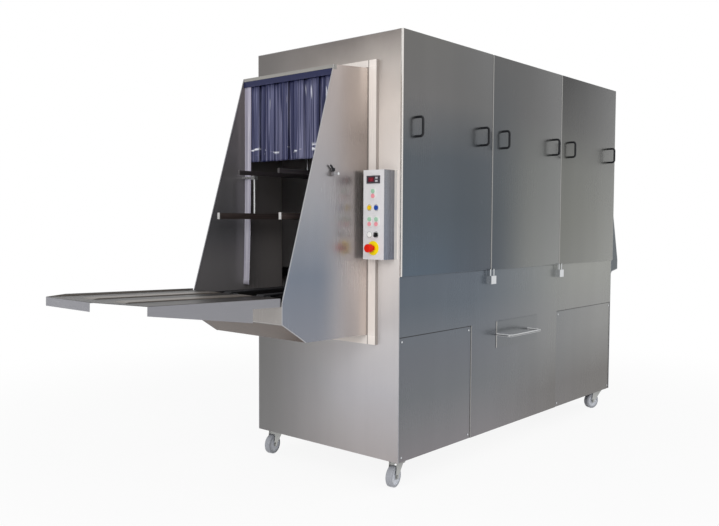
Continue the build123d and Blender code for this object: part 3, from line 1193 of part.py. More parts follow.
save("frame", *frame())
save("end_walls", end_wall(X_IN, FRAME_IN), end_wall(FRAME_OUT, X_OUT))
save("roof_panel", roof_panel())
save("lower_skin", lower_skin())
save("side_panels", *far_panels(), *service_panels())
save("panel_screws", *panel_screws())
save("door_catches", *door_catches())
for index, name in enumerate(("infeed", "middle", "outfeed")):
    save(f"{name}_door", door(index))
    save(f"{name}_door_handles", *door_handles(index))
save("filter_drawer", *filter_drawer())
save("drawer_handle", drawer_handle())
save("infeed_hood", *hood(-1, infeed_lines()))
save("outfeed_hood", *hood(1, outfeed_lines()))
save("infeed_curtain", *curtain(-1))
save("outfeed_curtain", *curtain(1))
for side, name in ((-1, "door_side"), (1, "far_side")):
    save(f"{name}_guide", *guide(side))
    save(f"{name}_clamp_lever", clamp_lever(side))
save("hold_down_rails", *hold_down_rails())
save("conveyor_rails", *conveyor_rails())
save("conveyor_chains", *conveyor_chains())
save("drive_shaft", chain_shaft(DRIVE_X, HOOD_Y + GEARBOX_WIDTH))
save("idler_shaft", chain_shaft(IDLER_X, RAIL_HALF_GAP + RAIL_PLATE + BEARING_LENGTH))
save("gearmotor", *gearmotor())
save("wash_tank", *wash_tank(), *drawer_runners())
save("tank_heaters", *tank_heaters())
save("wash_pump", *wash_pump())
save("spray_pipes", *spray_pipes())
water_inlet = spigot(RINSE_X, INNER_Y, Z_INLET, INLET_RADIUS)
drain_outlet = spigot(DRAIN_X, TANK_Y, Z_DRAIN, DRAIN_RADIUS)
save("service_connections", water_inlet, drain_outlet, cable_gland())
save("control_box", control_box())
save("control_face", control_face())
save("display_unit", display_unit())
save("button_bezels", *button_bezels())
save("pilot_lamp", pilot_lamp())
save("stop_disc", stop_disc())
save("stop_button", stop_button())
save("selector_knob", selector_knob())
for name, place in zip(("yellow", "blue"), round_places()):
    save(f"{name}_button", push_button(*place, BUTTON_RADIUS))
for name, (offset, row) in zip(("wash", "rinse", "conveyor"), double_places()):
    save(f"{name}_start_button", push_button(offset, row - DOUBLE_PITCH / 2, DOUBLE_BUTTON))
    save(f"{name}_stop_button", push_button(offset, row + DOUBLE_PITCH / 2, DOUBLE_BUTTON))
save("castor_plates", *castor_plates())
for name, castor in CASTORS.items():
    save(f"{name}_castor_fork", *castor_fork(*castor))
    save(f"{name}_castor_wheel", castor_wheel(*castor))
save("loading_table", *loading_table())
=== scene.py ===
"""Looks of a container tunnel washer: finishes, doors, soft curtains, chains, trim, controls and studio."""
import logging
import math
from dataclasses import dataclass, field
from enum import Enum
from typing import Any, Optional, Sequence, Union

import bmesh
import bpy
from mathutils import Matrix, Vector


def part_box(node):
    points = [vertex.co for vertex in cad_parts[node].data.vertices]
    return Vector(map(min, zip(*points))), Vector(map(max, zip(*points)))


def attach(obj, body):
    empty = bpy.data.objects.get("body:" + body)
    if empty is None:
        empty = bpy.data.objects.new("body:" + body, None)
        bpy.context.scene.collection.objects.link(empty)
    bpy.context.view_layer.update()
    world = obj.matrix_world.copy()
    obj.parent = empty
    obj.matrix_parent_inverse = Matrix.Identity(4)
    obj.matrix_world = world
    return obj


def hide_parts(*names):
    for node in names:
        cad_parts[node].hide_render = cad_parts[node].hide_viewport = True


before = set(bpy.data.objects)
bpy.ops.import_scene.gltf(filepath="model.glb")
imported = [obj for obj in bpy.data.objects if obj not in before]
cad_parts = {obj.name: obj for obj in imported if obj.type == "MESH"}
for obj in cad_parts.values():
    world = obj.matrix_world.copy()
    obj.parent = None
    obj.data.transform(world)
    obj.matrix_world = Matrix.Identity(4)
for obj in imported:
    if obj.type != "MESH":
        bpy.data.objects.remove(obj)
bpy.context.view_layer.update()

LOG = logging.getLogger("washer")
MACHINE = "machine"
DOORS = ("infeed_door", "middle_door", "outfeed_door")
SHEET = 0.002
COLLAR_WIDTH, COLLAR_DEPTH, COLLAR_ABOVE, COLLAR_BELOW = 0.050, 0.020, 0.033, 0.044
PANEL_GAP = 0.004
GUIDE_HEIGHT, HOLD_DOWN_DEPTH = 0.028, 0.020
STRIP_DROP = 0.366
Colour = tuple[float, float, float]
Number = Union[float, "Wire"]


class Axis(Enum):
    """A direction of the frame, as a unit vector."""

    X = (1.0, 0.0, 0.0)
    Y = (0.0, 1.0, 0.0)
    Z = (0.0, 0.0, 1.0)

    @property
    def vector(self) -> Vector:
        """The axis as a vector."""
        return Vector(self.value)


class End(Enum):
    """One end of the machine, with the sense of its outward X."""

    INFEED = -1
    OUTFEED = 1


def linear(red: int, green: int, blue: int) -> Colour:
    """Turns a colour of 0 to 255 as it shows on a screen into the linear colour that shaders use."""
    levels = [level / 255 for level in (red, green, blue)]
    return tuple(v / 12.92 if v <= 0.04045 else ((v + 0.055) / 1.055) ** 2.4 for v in levels)


class Wire:
    """A socket of a shader that takes part in arithmetic."""

    def __init__(self, paint: "Paint", socket: bpy.types.NodeSocket) -> None:
        """Keeps the socket and the paint that it belongs to."""
        self.paint = paint
        self.socket = socket

    def _math(self, operation: str, first: Number, second: Number) -> "Wire":
        """Adds a Math node and returns its output."""
        return self.paint.node("ShaderNodeMath", {"operation": operation}, {0: first, 1: second})

    def __add__(self, other: Number) -> "Wire":
        """Adds."""
        return self._math("ADD", self, other)

    def __sub__(self, other: Number) -> "Wire":
        """Subtracts."""
        return self._math("SUBTRACT", self, other)

    def __mul__(self, other: Number) -> "Wire":
        """Multiplies."""
        return self._math("MULTIPLY", self, other)

    def __rsub__(self, other: Number) -> "Wire":
        """Subtracts from a number."""
        return self._math("SUBTRACT", other, self)

    __radd__ = __add__
    __rmul__ = __mul__

    def above(self, limit: float, soft: float) -> "Wire":
        """A mask that rises from 0 to 1 as the value passes the limit, over the width soft."""
        spans = {1: limit - soft / 2, 2: limit + soft / 2}
        return self.paint.node("ShaderNodeMapRange", {"interpolation_type": "SMOOTHSTEP"}, {0: self, **spans})


class Paint:
    """A material, or the world, while its nodes are being written."""

    def __init__(self, owner: Union[bpy.types.Material, bpy.types.World]) -> None:
        """Clears the owner's nodes.

        Args:
            owner: What the nodes belong to.
        """
        self.owner = owner
        owner.use_nodes = True
        self.tree = owner.node_tree
        self.tree.nodes.clear()

    def node(self, kind: str, settings: Optional[dict[str, Any]] = None,
             inputs: Optional[dict[Any, Any]] = None, output: Any = 0) -> Wire:
        """Adds a node of any kind.

        Args:
            kind: Blender's name of the node type.
            settings: Attributes that are set first; "stops" fills a colour ramp.
            inputs: Values or wires by socket name or number.
            output: Name or number of the socket that is returned.

        Returns:
            The chosen output.
        """
        made = self.tree.nodes.new(kind)
        for key, value in (settings or {}).items():
            if key == "stops":
                self._fill_ramp(made.color_ramp, value)
            else:
                setattr(made, key, value)
        for key, value in (inputs or {}).items():
            socket = made.inputs[key]
            if isinstance(value, Wire):
                self.tree.links.new(value.socket, socket)
            elif isinstance(value, tuple) and socket.type == "RGBA":
                socket.default_value = (*value, 1.0)
            else:
                socket.default_value = value
        return Wire(self, made.outputs[output])

    @staticmethod
    def _fill_ramp(ramp: bpy.types.ColorRamp, stops: Sequence[tuple[float, Colour]]) -> None:
        """Gives a colour ramp its stops.

        Args:
            ramp: The ramp.
            stops: Places from 0 to 1 with their colours.
        """
        while len(ramp.elements) < len(stops):
            ramp.elements.new(1.0)
        for element, (place, colour) in zip(ramp.elements, stops):
            element.position = place
            element.color = (*colour, 1.0)

    def place(self) -> Wire:
        """The point on the surface, in the object's own metres."""
        return self.node("ShaderNodeTexCoord", output="Object")

    def scaled(self, vector: Wire, scale: Sequence[float]) -> Wire:
        """A point stretched by factors along X, Y and Z."""
        return self.node("ShaderNodeMapping", {}, {"Vector": vector, "Scale": tuple(scale)})

    def noise(self, vector: Wire, scale: float, detail: float = 2.0) -> Wire:
        """Soft noise from 0 to 1, with a scale in cycles per unit and detail in octaves."""
        return self.node("ShaderNodeTexNoise", {}, {"Vector": vector, "Scale": scale, "Detail": detail})

    def part(self, vector: Wire, axis: Axis) -> Wire:
        """One coordinate of a point."""
        return self.node("ShaderNodeSeparateXYZ", {}, {0: vector}, output=axis.name)

    def mix(self, share: Number, first: Any, second: Any, blend: str = "MIX") -> Wire:
        """Mixes two colours or wires: a share of 0 gives the first, 1 the second."""
        settings = {"data_type": "RGBA", "blend_type": blend}
        return self.node("ShaderNodeMix", settings, {0: share, 6: first, 7: second}, output=2)

    def bump(self, height: Wire, strength: float, distance: float) -> Wire:
        """A surface normal from a height, with the distance in metres for a height of 1."""
        return self.node("ShaderNodeBump", {}, {"Height": height, "Strength": strength, "Distance": distance})

    def surroundings(self) -> Wire:
        """A mask of the rays that show the background.

        Returns:
            1 for the camera's own rays, mirrored ones and those that pass through, 0 for the rest.
        """
        rays = [self.node("ShaderNodeLightPath", output=name)
                for name in ("Is Camera Ray", "Is Glossy Ray", "Is Transmission Ray")]
        return (rays[0] + rays[1] + rays[2]).above(0.5, 0.2)

    def finish(self, **sockets: Any) -> bpy.types.Material:
        """Ends the material with its surface, given by socket names with _ for a blank."""
        named = {key.replace("_", " "): value for key, value in sockets.items()}
        return self.close(self.node("ShaderNodeBsdfPrincipled", {}, named))

    def close(self, surface: Wire, kind: str = "Material") -> Any:
        """Joins a shader to the output.

        Args:
            surface: The shader.
            kind: Material or World.

        Returns:
            The owner.
        """
        output = self.tree.nodes.new("ShaderNodeOutput" + kind)
        self.tree.links.new(surface.socket, output.inputs["Surface"])
        return self.owner


class Finish:
    """A surface finish; each kind writes its own material, which is made once and shared."""

    name: str

    def write(self, paint: Paint) -> bpy.types.Material:
        """Writes the material's nodes and returns the material."""
        raise NotImplementedError

    def material(self) -> bpy.types.Material:
        """Makes the finish's material when it is first needed.

        Returns:
            The material.
        """
        name = "finish_" + self.name
        found = bpy.data.materials.get(name)
        return found or self.write(Paint(bpy.data.materials.new(name)))


@dataclass(frozen=True)
class Patch:
    """A stretch of a sheet along one axis, such as a painted highlight down an edge or painted shade in a
    hollow, with its own tone and mirror share.
    """

    axis: Axis
    start: float
    stop: float
    colour: Colour
    soft: float = 0.0012
    metal: float = 1.0
    within: Optional["Patch"] = None

    def mask(self, paint: Paint, place: Wire) -> Wire:
        """Where the stretch lies.

        Args:
            paint: The material.
            place: The point on the surface.

        Returns:
            1 on the stretch and 0 off it.
        """
        along = paint.part(place, self.axis)
        found = along.above(self.start, self.soft) * (1.0 - along.above(self.stop, self.soft))
        return found * self.within.mask(paint, place) if self.within else found


@dataclass(frozen=True)
class BrushedSteel(Finish):
    """Ground stainless sheet: fine lines along the grain, cloudy bands and a tone that changes with place.

    Tones are read between two heights, and go over to the far tones along the run. On the cabinet's walls,
    doors, skin and hoods these tones are painted reflection and shade, and most patches are painted
    highlights and shade.
    """

    name: str
    tones: tuple[Colour, ...]
    far_tones: tuple[Colour, ...] = ()
    grain: Axis = Axis.X
    heights: tuple[float, float] = (0.13, 2.11)
    run: tuple[float, float] = (-0.75, 1.54)
    run_axis: Axis = Axis.X
    blend: tuple[float, float] = (0.58, 0.9)
    patches: tuple[Patch, ...] = ()
    roughness: float = 0.26
    metallic: float = 0.85
    clouds: float = 0.06
    lines: float = 0.035
    bump: float = 0.015
    specular: float = 0.5

    def write(self, paint: Paint) -> bpy.types.Material:
        """Writes the steel.

        Args:
            paint: The empty material.

        Returns:
            The material.
        """
        place = paint.place()
        fine = [5.0 if axis is self.grain else 420.0 for axis in Axis]
        broad = [0.7 if axis is self.grain else 9.0 for axis in Axis]
        lines = paint.noise(paint.scaled(place, fine), 1.0, 3.0)
        bands = paint.noise(paint.scaled(place, broad), 1.0, 2.0)
        smears = paint.noise(place, 2.3, 4.0)
        low, high = self.heights
        height = (paint.part(place, Axis.Z) - low) * (1 / (high - low)) + (smears - 0.5) * 0.12
        tone = self.tone(paint, place, height)
        mirror: Number = self.metallic
        for patch in self.patches:
            mask = patch.mask(paint, place)
            tone = paint.mix(mask, tone, patch.colour)
            mirror = (1.0 + mask * (patch.metal - 1.0)) * mirror
        shade = (1.0 + (bands - 0.5) * self.clouds * 2 + (smears - 0.5) * self.clouds
                 + (lines - 0.5) * self.lines * 2)
        grey = paint.node("ShaderNodeCombineColor", {}, {0: shade, 1: shade, 2: shade})
        colour = paint.mix(1.0, tone, grey, "MULTIPLY")
        rough = self.roughness + (lines - 0.5) * 0.04 + (smears - 0.5) * 0.10
        normal = paint.bump(lines, self.bump, 0.0006)
        return paint.finish(Base_Color=colour, Roughness=rough, Metallic=mirror, Normal=normal,
                            Specular_IOR_Level=self.specular)

    def tone(self, paint: Paint, place: Wire, height: Wire) -> Wire:
        """The sheet's broad tone, which on the big sheets is painted reflection and shade.

        Args:
            paint: The material.
            place: The point on the surface.
            height: From 0 at the sheet's foot to 1 at its top.

        Returns:
            The tone.
        """
        tone = self._ramp(paint, height, self.tones)
        if not self.far_tones:
            return tone
        start, stop = self.run
        along = (paint.part(place, self.run_axis) - start) * (1 / (stop - start))
        return paint.mix(along.above(*self.blend), tone, self._ramp(paint, height, self.far_tones))

    @staticmethod
    def _ramp(paint: Paint, height: Wire, tones: Sequence[Colour]) -> Wire:
        """A tone out of several, evenly spaced from a height of 0 at the bottom to 1 at the top."""
        stops = [(index / (len(tones) - 1), tone) for index, tone in enumerate(tones)]
        return paint.node("ShaderNodeValToRGB", {"stops": stops}, {0: height})


@dataclass(frozen=True)
class TableSteel(BrushedSteel):
    """The loading table's sheet: a dark top with stripes along it, lighter slide ribs, a far rim and paler
    aprons; the ribs' and rim's lighter tones are painted highlights, and the stripes are partly wear and
    partly painted reflection.
    """

    level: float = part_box("conveyor_chains")[1].z
    end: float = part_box("infeed_hood")[0].x - SHEET
    slope: float = math.tan(math.radians(1.4))
    top: Colour = linear(46, 44, 44)
    rib: Colour = linear(116, 110, 104)
    rim: Colour = linear(120, 120, 121)
    top_rise: float = -0.0012
    rib_rise: float = 0.0004
    rim_rise: float = 0.0052

    def tone(self, paint: Paint, place: Wire, height: Wire) -> Wire:
        """The tone by the height over the table's sloping top.

        Args:
            paint: The material.
            place: The point on the surface.
            height: From 0 at the sheet's foot to 1 at its top.

        Returns:
            The tone.
        """
        over = paint.part(place, Axis.Z) - self.level
        rise = over + (paint.part(place, Axis.X) - self.end) * self.slope
        # Stripes along the top, partly wear and partly painted reflection.
        wear_and_sheen = paint.noise(paint.scaled(place, (0.8, 26.0, 1.0)), 1.0, 3.0)
        top = paint.mix((wear_and_sheen - 0.45) * 1.2, self.top, self.rib)
        apron = BrushedSteel.tone(self, paint, place, height)
        tone = paint.mix(rise.above(self.top_rise, 0.0012), apron, top)
        # The ribs and the far rim take lighter tones, painted highlights.
        tone = paint.mix(rise.above(self.rib_rise, 0.0004), tone, self.rib)
        return paint.mix(rise.above(self.rim_rise, 0.0010), tone, self.rim)


@dataclass(frozen=True)
class Plastic(Finish):
    """Moulded plastic or paint: a soft change of tone, a fine pebble and lighter spots of wear."""

    name: str
    colour: Colour
    wear_and_sheen: Colour
    roughness: float = 0.42
    pebble: float = 0.06
    cell: float = 900.0
    gloss: float = 0.0
    shine: float = 0.22

    def write(self, paint: Paint) -> bpy.types.Material:
        """Writes the plastic.

        Args:
            paint: The empty material.

        Returns:
            The material.
        """
        place = paint.place()
        cloud = paint.noise(place, 38.0, 3.0)
        grains = paint.noise(place, self.cell, 2.0)
        wear = paint.noise(place, 170.0, 5.0).above(0.66, 0.14)
        colour = paint.mix(wear * 0.45 + (cloud - 0.5) * 0.5, self.colour, self.wear_and_sheen)
        colour = self.tone(paint, place, colour)
        rough = self.roughness + (cloud - 0.5) * 0.16 + (grains - 0.5) * 0.08
        normal = paint.bump(grains, self.pebble, 0.0006)
        return paint.finish(Base_Color=colour, Roughness=rough, Normal=normal, Coat_Weight=self.gloss,
                            Specular_IOR_Level=self.shine)

    def tone(self, paint: Paint, place: Wire, colour: Wire) -> Wire:
        """The tone where it isn't the same all over."""
        return colour


@dataclass(frozen=True)
class WheelPlastic(Plastic):
    """A castor wheel: a pale dished centre and a greyer tread, parted by the distance from its middle."""

    middle: Sequence[float] = (0.0, 0.0, 0.0)
    tread: float = 0.040

    def tone(self, paint: Paint, place: Wire, colour: Wire) -> Wire:
        """The wheel's tone.

        Args:
            paint: The material.
            place: The point on the surface.
            colour: The plastic's own tone.

        Returns:
            The tone, greyer at the tread.
        """
        offset = paint.node("ShaderNodeVectorMath", {"operation": "SUBTRACT"},
                            {0: place, 1: tuple(self.middle)})
        away = paint.node("ShaderNodeVectorMath", {"operation": "LENGTH"}, {0: offset}, output="Value")
        rim = away.above(self.tread, 0.004)
        hub = 1.0 - away.above(self.tread * 0.5, 0.008)
        return paint.mix(rim * 0.8 + hub * 0.4, colour, self.wear_and_sheen)


@dataclass(frozen=True)
class CurtainFilm(Finish):
    """Soft violet-blue strip curtain film: streaks down its length with painted shade and highlights across
    its pleats, painted pale glints near the free end and painted gleams lower down, going darker at the top.
    """

    name: str
    deep: Colour
    body: Colour
    pale: Colour
    length: float
    glints: float = 1.0
    roughness: float = 0.34
    top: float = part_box("infeed_curtain")[1].z
    glint: Colour = linear(236, 238, 246)

    def write(self, paint: Paint) -> bpy.types.Material:
        """Writes the film.

        Args:
            paint: The empty material.

        Returns:
            The material.
        """
        place = paint.place()
        streaks = paint.noise(paint.scaled(place, (30.0, 62.0, 1.2)), 1.0, 1.0)
        fold_shade = paint.noise(paint.scaled(place, (20.0, 34.0, 0.8)), 1.0, 1.0)
        hang = (self.top - paint.part(place, Axis.Z)) * (1 / self.length)
        # Painted shade: darker and lighter stretches across the pleats.
        mixed = paint.mix(fold_shade.above(0.5, 0.36), self.deep, self.body)
        # Painted highlights in thin lines down the pleats, stronger towards the free end.
        crease_highlights = streaks.above(0.50, 0.05) * (1.0 - streaks.above(0.56, 0.08))
        light = paint.mix(crease_highlights * (0.34 + hang * 0.2), mixed, self.pale)
        # Painted glints: pale spots near the free end, and gleams below the top.
        sparks = paint.noise(paint.scaled(place, (14.0, 16.0, 64.0)), 1.0, 0.0).above(0.66, 0.05)
        spot = hang.above(0.82, 0.05) * (1.0 - hang.above(0.90, 0.04)) * sparks
        gleam = paint.noise(paint.scaled(place, (40.0, 62.0, 8.0)), 1.0, 0.0).above(0.80, 0.05)
        shine = (spot + gleam * hang.above(0.1, 0.1) * 0.7) * self.glints
        colour = paint.mix(shine, light, self.glint)
        # The film goes darker at the top.
        header = paint.mix(hang.above(0.05, 0.16), self.deep, colour)
        rough = self.roughness + (streaks - 0.5) * 0.16
        normal = paint.bump(streaks, 0.16, 0.002)
        return paint.finish(Base_Color=header, Roughness=rough, Normal=normal, Specular_IOR_Level=0.25,
                            Transmission_Weight=0.10, IOR=1.45)


@dataclass(frozen=True)
class Glow(Finish):
    """A lit window or figure of the thermostat."""

    name: str
    colour: Colour
    strength: float

    def write(self, paint: Paint) -> bpy.types.Material:
        """Writes the lit surface.

        Args:
            paint: The empty material.

        Returns:
            The material.
        """
        place = paint.place()
        speckle = paint.noise(place, 1400.0, 2.0)
        colour = paint.mix(speckle * 0.5, self.colour, tuple(v * 0.6 for v in self.colour))
        return paint.finish(Base_Color=colour, Roughness=0.25, Emission_Color=colour,
                            Emission_Strength=self.strength)


DARK = linear(0, 0, 0)
HAIR, EDGE_WIDTH = 0.001, 0.0042


class Places:
    """Places on the machine that finishes are parted at, worked out from the frame."""

    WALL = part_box("end_walls")[0].x
    WALL_SIDES = (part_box("end_walls")[0].y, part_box("end_walls")[1].y)
    DOOR_HEIGHTS = (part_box(DOORS[0])[0].z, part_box(DOORS[0])[1].z)
    HOOD_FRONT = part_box("infeed_hood")[0].x
    HOOD_HEIGHTS = (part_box("infeed_hood")[0].z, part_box("infeed_hood")[1].z)
    HOOD_RUN = (WALL - 0.413, WALL - 0.033)
    LIP_RUN = (WALL - 0.265, WALL - 0.235)
    PAN_HEIGHTS = (HOOD_HEIGHTS[0], HOOD_HEIGHTS[0] + 0.135)
    # Heights of the painted sheen on the hood's far plate.
    SHEEN_HEIGHTS = (0.80, 1.12)
    CLOSED_SIDE = (0.40, WALL_SIDES[1] - SHEET / 2)
    NEAR_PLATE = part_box("infeed_hood")[0].y + COLLAR_WIDTH
    FAR_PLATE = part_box("infeed_hood")[1].y - COLLAR_WIDTH
    DRAWER_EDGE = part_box("filter_drawer")[0].x
    DRAWER_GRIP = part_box("drawer_handle")[0].y
    GRIP_HEIGHT = (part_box("drawer_handle")[0].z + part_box("drawer_handle")[1].z) / 2
    LOWER_RUN = (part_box("end_walls")[0].x + 0.3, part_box("end_walls")[1].x)
    PANEL_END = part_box("end_walls")[0].x + 0.600
    PANEL_HEIGHTS = (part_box("end_walls")[0].z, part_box("end_walls")[0].z + 0.583)
    SKIN_DEPTHS = (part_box("lower_skin")[0].y - HAIR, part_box("lower_skin")[1].y)
    BOX_HEIGHTS = (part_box("control_box")[0].z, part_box("control_box")[1].z)


def painted_edge_highlight(edge: float, tone: Colour) -> Patch:
    """A painted highlight down the left edge of a folded sheet."""
    return Patch(Axis.X, edge - HAIR, edge + EDGE_WIDTH, tone)


def door_steel(door: str, tones: tuple[Colour, ...], far_tones: tuple[Colour, ...],
               blend: tuple[float, float] = (0.58, 0.9)) -> BrushedSteel:
    """A door's ground sheet, with painted reflection and shade tones and a painted highlight down its left
    edge.

    Args:
        door: The door's node.
        tones: Tones up its left edge.
        far_tones: Tones up its right edge.
        blend: Middle and width of the change from one to the other, as shares of the door's width.

    Returns:
        The finish.
    """
    low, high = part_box(door)
    # The strip down the door's left edge is a painted highlight, brighter on the infeed door.
    edge = linear(226, 222, 218) if door == DOORS[0] else linear(160, 159, 157)
    return BrushedSteel(door + "_steel", tones, far_tones, grain=Axis.Z, heights=Places.DOOR_HEIGHTS,
                        run=(low.x, high.x), blend=blend, patches=(painted_edge_highlight(low.x, edge),))


def greys(*tones: tuple[int, int, int]) -> tuple[Colour, ...]:
    """Tones written as screen colours."""
    return tuple(linear(*tone) for tone in tones)


# Painted shade on the hood's inner faces, and a darker painted shade on the far plate's inner face.
INSIDE_SHADE = Patch(Axis.Y, Places.NEAR_PLATE + SHEET, Places.FAR_PLATE - SHEET, linear(78, 71, 67))
FAR_FACE_SHADE = Patch(Axis.Y, Places.FAR_PLATE - SHEET, Places.FAR_PLATE - SHEET / 2, linear(90, 88, 90),
                 metal=0.0)
LIP = Patch(Axis.X, *Places.LIP_RUN, DARK)
COLLAR = (Patch(Axis.Y, Places.NEAR_PLATE - COLLAR_WIDTH - 0.01, Places.NEAR_PLATE, DARK),
          Patch(Axis.Y, Places.FAR_PLATE, Places.FAR_PLATE + COLLAR_WIDTH + 0.01, DARK),
          Patch(Axis.Z, Places.HOOD_HEIGHTS[1] - COLLAR_ABOVE + SHEET, Places.HOOD_HEIGHTS[1] + 0.01, DARK),
          Patch(Axis.Z, Places.HOOD_HEIGHTS[0] - 0.01, Places.HOOD_HEIGHTS[0] + COLLAR_BELOW - SHEET, DARK))


class Steels:
    """The machine's metal finishes, tones from the foot of a sheet to its top; on the walls, doors, skin,
    panels, drawer, hoods and control box the tones are painted reflection and shade.
    """

    # Painted reflection and shade tones of the lower skin and service panels, at the infeed end and further
    # along.
    LOWER = greys((128, 125, 128), (120, 120, 123), (110, 113, 117), (107, 110, 116), (104, 109, 116),
                  (93, 101, 110), (92, 100, 110))
    BELOW_DOORS = (0.13, 1.0)
    FAR_LOWER = greys((106, 103, 100), (104, 101, 98), (120, 119, 117), (132, 132, 130), (136, 136, 134),
                      (140, 141, 137), (143, 144, 139))
    # Painted reflection and shade tones of the end wall, near side and far side.
    WALL = BrushedSteel("ground_steel_wall",
                        greys((170, 164, 164), (184, 182, 186), (208, 204, 204), (246, 239, 234),
                              (246, 238, 232), (226, 217, 210), (126, 119, 115)),
                        greys((120, 119, 119), (116, 115, 114), (118, 116, 115), (104, 100, 98)),
                        grain=Axis.Z, run=Places.WALL_SIDES, run_axis=Axis.Y, roughness=0.40, metallic=0.3,
                        # Painted shade on the end wall inside the hood's mouth.
                        patches=(Patch(Axis.Y, Places.NEAR_PLATE, Places.FAR_PLATE, linear(52, 49, 49),
                                       within=Patch(Axis.Z, *Places.HOOD_HEIGHTS, DARK)),))
    # Painted reflection and shade: the doors' tones up their left and right edges.
    DOORS = (door_steel(DOORS[0],
                        greys((86, 98, 110), (84, 92, 100), (86, 92, 98), (109, 108, 108), (108, 107, 105)),
                        greys((66, 74, 84), (62, 71, 79), (66, 73, 80), (94, 94, 94), (96, 96, 96))),
             door_steel(DOORS[1],
                        greys((84, 90, 97), (82, 88, 93), (84, 89, 93), (90, 92, 94), (94, 94, 94)),
                        greys((120, 122, 120), (112, 114, 112), (105, 107, 105), (94, 94, 94), (88, 88, 88)),
                        (0.30, 0.6)),
             door_steel(DOORS[2],
                        greys((122, 123, 119), (116, 117, 112), (110, 111, 107), (88, 88, 87), (68, 68, 68)),
                        greys((124, 125, 120), (116, 117, 112), (108, 109, 105), (86, 86, 85), (66, 66, 66))))
    SKIN = BrushedSteel("ground_steel_skin", LOWER, FAR_LOWER, grain=Axis.Z, heights=BELOW_DOORS,
                        run=Places.LOWER_RUN, blend=(0.46, 0.7),
                        # Painted highlight on the skin's edge where the left service panel ends.
                        patches=(Patch(Axis.X, Places.PANEL_END - HAIR, Places.PANEL_END + 0.0032,
                                       linear(160, 158, 156), metal=0.3,
                                       within=Patch(Axis.Z, *Places.PANEL_HEIGHTS, DARK)),))
    PANEL = BrushedSteel("ground_steel_panels", LOWER, FAR_LOWER, grain=Axis.Z, heights=BELOW_DOORS,
                         run=Places.LOWER_RUN,
                         # Painted shadow along the top of the service panels, under the skin's edge.
                         patches=(Patch(Axis.Z, Places.PANEL_HEIGHTS[1] - 0.0045,
                                        Places.PANEL_HEIGHTS[1] + HAIR, linear(40, 40, 42),
                                        within=Patch(Axis.Y, *Places.SKIN_DEPTHS, DARK)),
                                  Patch(Axis.Y, *Places.CLOSED_SIDE, linear(200, 195, 195), metal=0.0)))
    # Painted reflection tones of the drawer front, and a painted highlight down its left edge.
    DRAWER = BrushedSteel("ground_steel_drawer", greys((110, 112, 115), (106, 109, 114), (102, 107, 113)),
                          greys((128, 128, 126), (132, 132, 130), (136, 136, 133)), grain=Axis.Z,
                          heights=(0.4, 0.7),
                          patches=(painted_edge_highlight(Places.DRAWER_EDGE, linear(200, 197, 194)),))
    # Painted reflection and shade tones of the infeed hood, near its mouth and near the wall.
    HOOD = BrushedSteel("ground_steel_hood",
                        greys((136, 138, 146), (120, 127, 139), (154, 155, 160), (172, 166, 166),
                              (170, 158, 155)),
                        greys((208, 199, 194), (208, 198, 193), (168, 160, 156), (158, 149, 144),
                              (226, 215, 207)),
                        grain=Axis.Z, heights=Places.HOOD_HEIGHTS,
                        run=Places.HOOD_RUN,
                        metallic=0.75, bump=0.004, specular=0.08,
                        patches=(INSIDE_SHADE,
                                 Patch(Axis.Z, *Places.PAN_HEIGHTS, linear(80, 62, 50), metal=0.1,
                                       within=INSIDE_SHADE),
                                 # Painted tone for the light caught by the lip at the top of the hood's
                                 # mouth.
                                 Patch(Axis.Z, Places.HOOD_HEIGHTS[1] - COLLAR_ABOVE - 0.040,
                                       Places.HOOD_HEIGHTS[1], linear(150, 148, 144), metal=0.2, within=LIP),
                                 FAR_FACE_SHADE,
                                 # Painted sheen: a lighter stretch across the far plate's inner face.
                                 Patch(Axis.Z, *Places.SHEEN_HEIGHTS, linear(136, 132, 131), 0.24, metal=0.0,
                                       within=FAR_FACE_SHADE),
                                 # Painted highlight down the hood's front edge.
                                 Patch(Axis.X, Places.HOOD_FRONT - HAIR, Places.HOOD_FRONT + 0.005,
                                       linear(160, 156, 153)),
                                 # Painted highlight: the collar round the hood's mouth.
                                 *(Patch(Axis.X, Places.WALL - COLLAR_DEPTH - 0.0006, Places.WALL + 0.05,
                                         linear(240, 232, 226), metal=0.2, within=part) for part in COLLAR),
                                 # Painted shade on the collar's outer side, darker than its lit front.
                                 Patch(Axis.Y, Places.NEAR_PLATE - COLLAR_WIDTH - HAIR,
                                       Places.NEAR_PLATE - COLLAR_WIDTH + HAIR, linear(168, 160, 154),
                                       metal=0.5),
                                 # Painted shade in the corner where the collar meets the near plate.
                                 Patch(Axis.Y, Places.NEAR_PLATE - 0.005, Places.NEAR_PLATE - 0.0006,
                                       linear(120, 112, 106))))
    # Painted reflection and shade tones of the outfeed hood, darker and bluer at its foot.
    OUT_HOOD = BrushedSteel("ground_steel_outfeed_hood", greys((78, 85, 90), (80, 88, 93), (112, 112, 112)),
                            grain=Axis.Z, heights=Places.HOOD_HEIGHTS)
    # Painted reflection tones of the control box's sides.
    BOX = BrushedSteel("control_box_steel", greys((120, 125, 138), (126, 130, 140), (132, 133, 138)),
                       grain=Axis.Z, heights=Places.BOX_HEIGHTS, clouds=0.03, lines=0.02,
                       # Painted highlight on the box's flange against the wall.
                       patches=(Patch(Axis.X, Places.WALL - 0.0046, Places.WALL + 0.05, linear(226, 221, 216),
                                      metal=0.3),))
    FRAME = BrushedSteel("frame_steel", greys((96, 95, 95), (60, 58, 58), (60, 58, 58)), roughness=0.40)
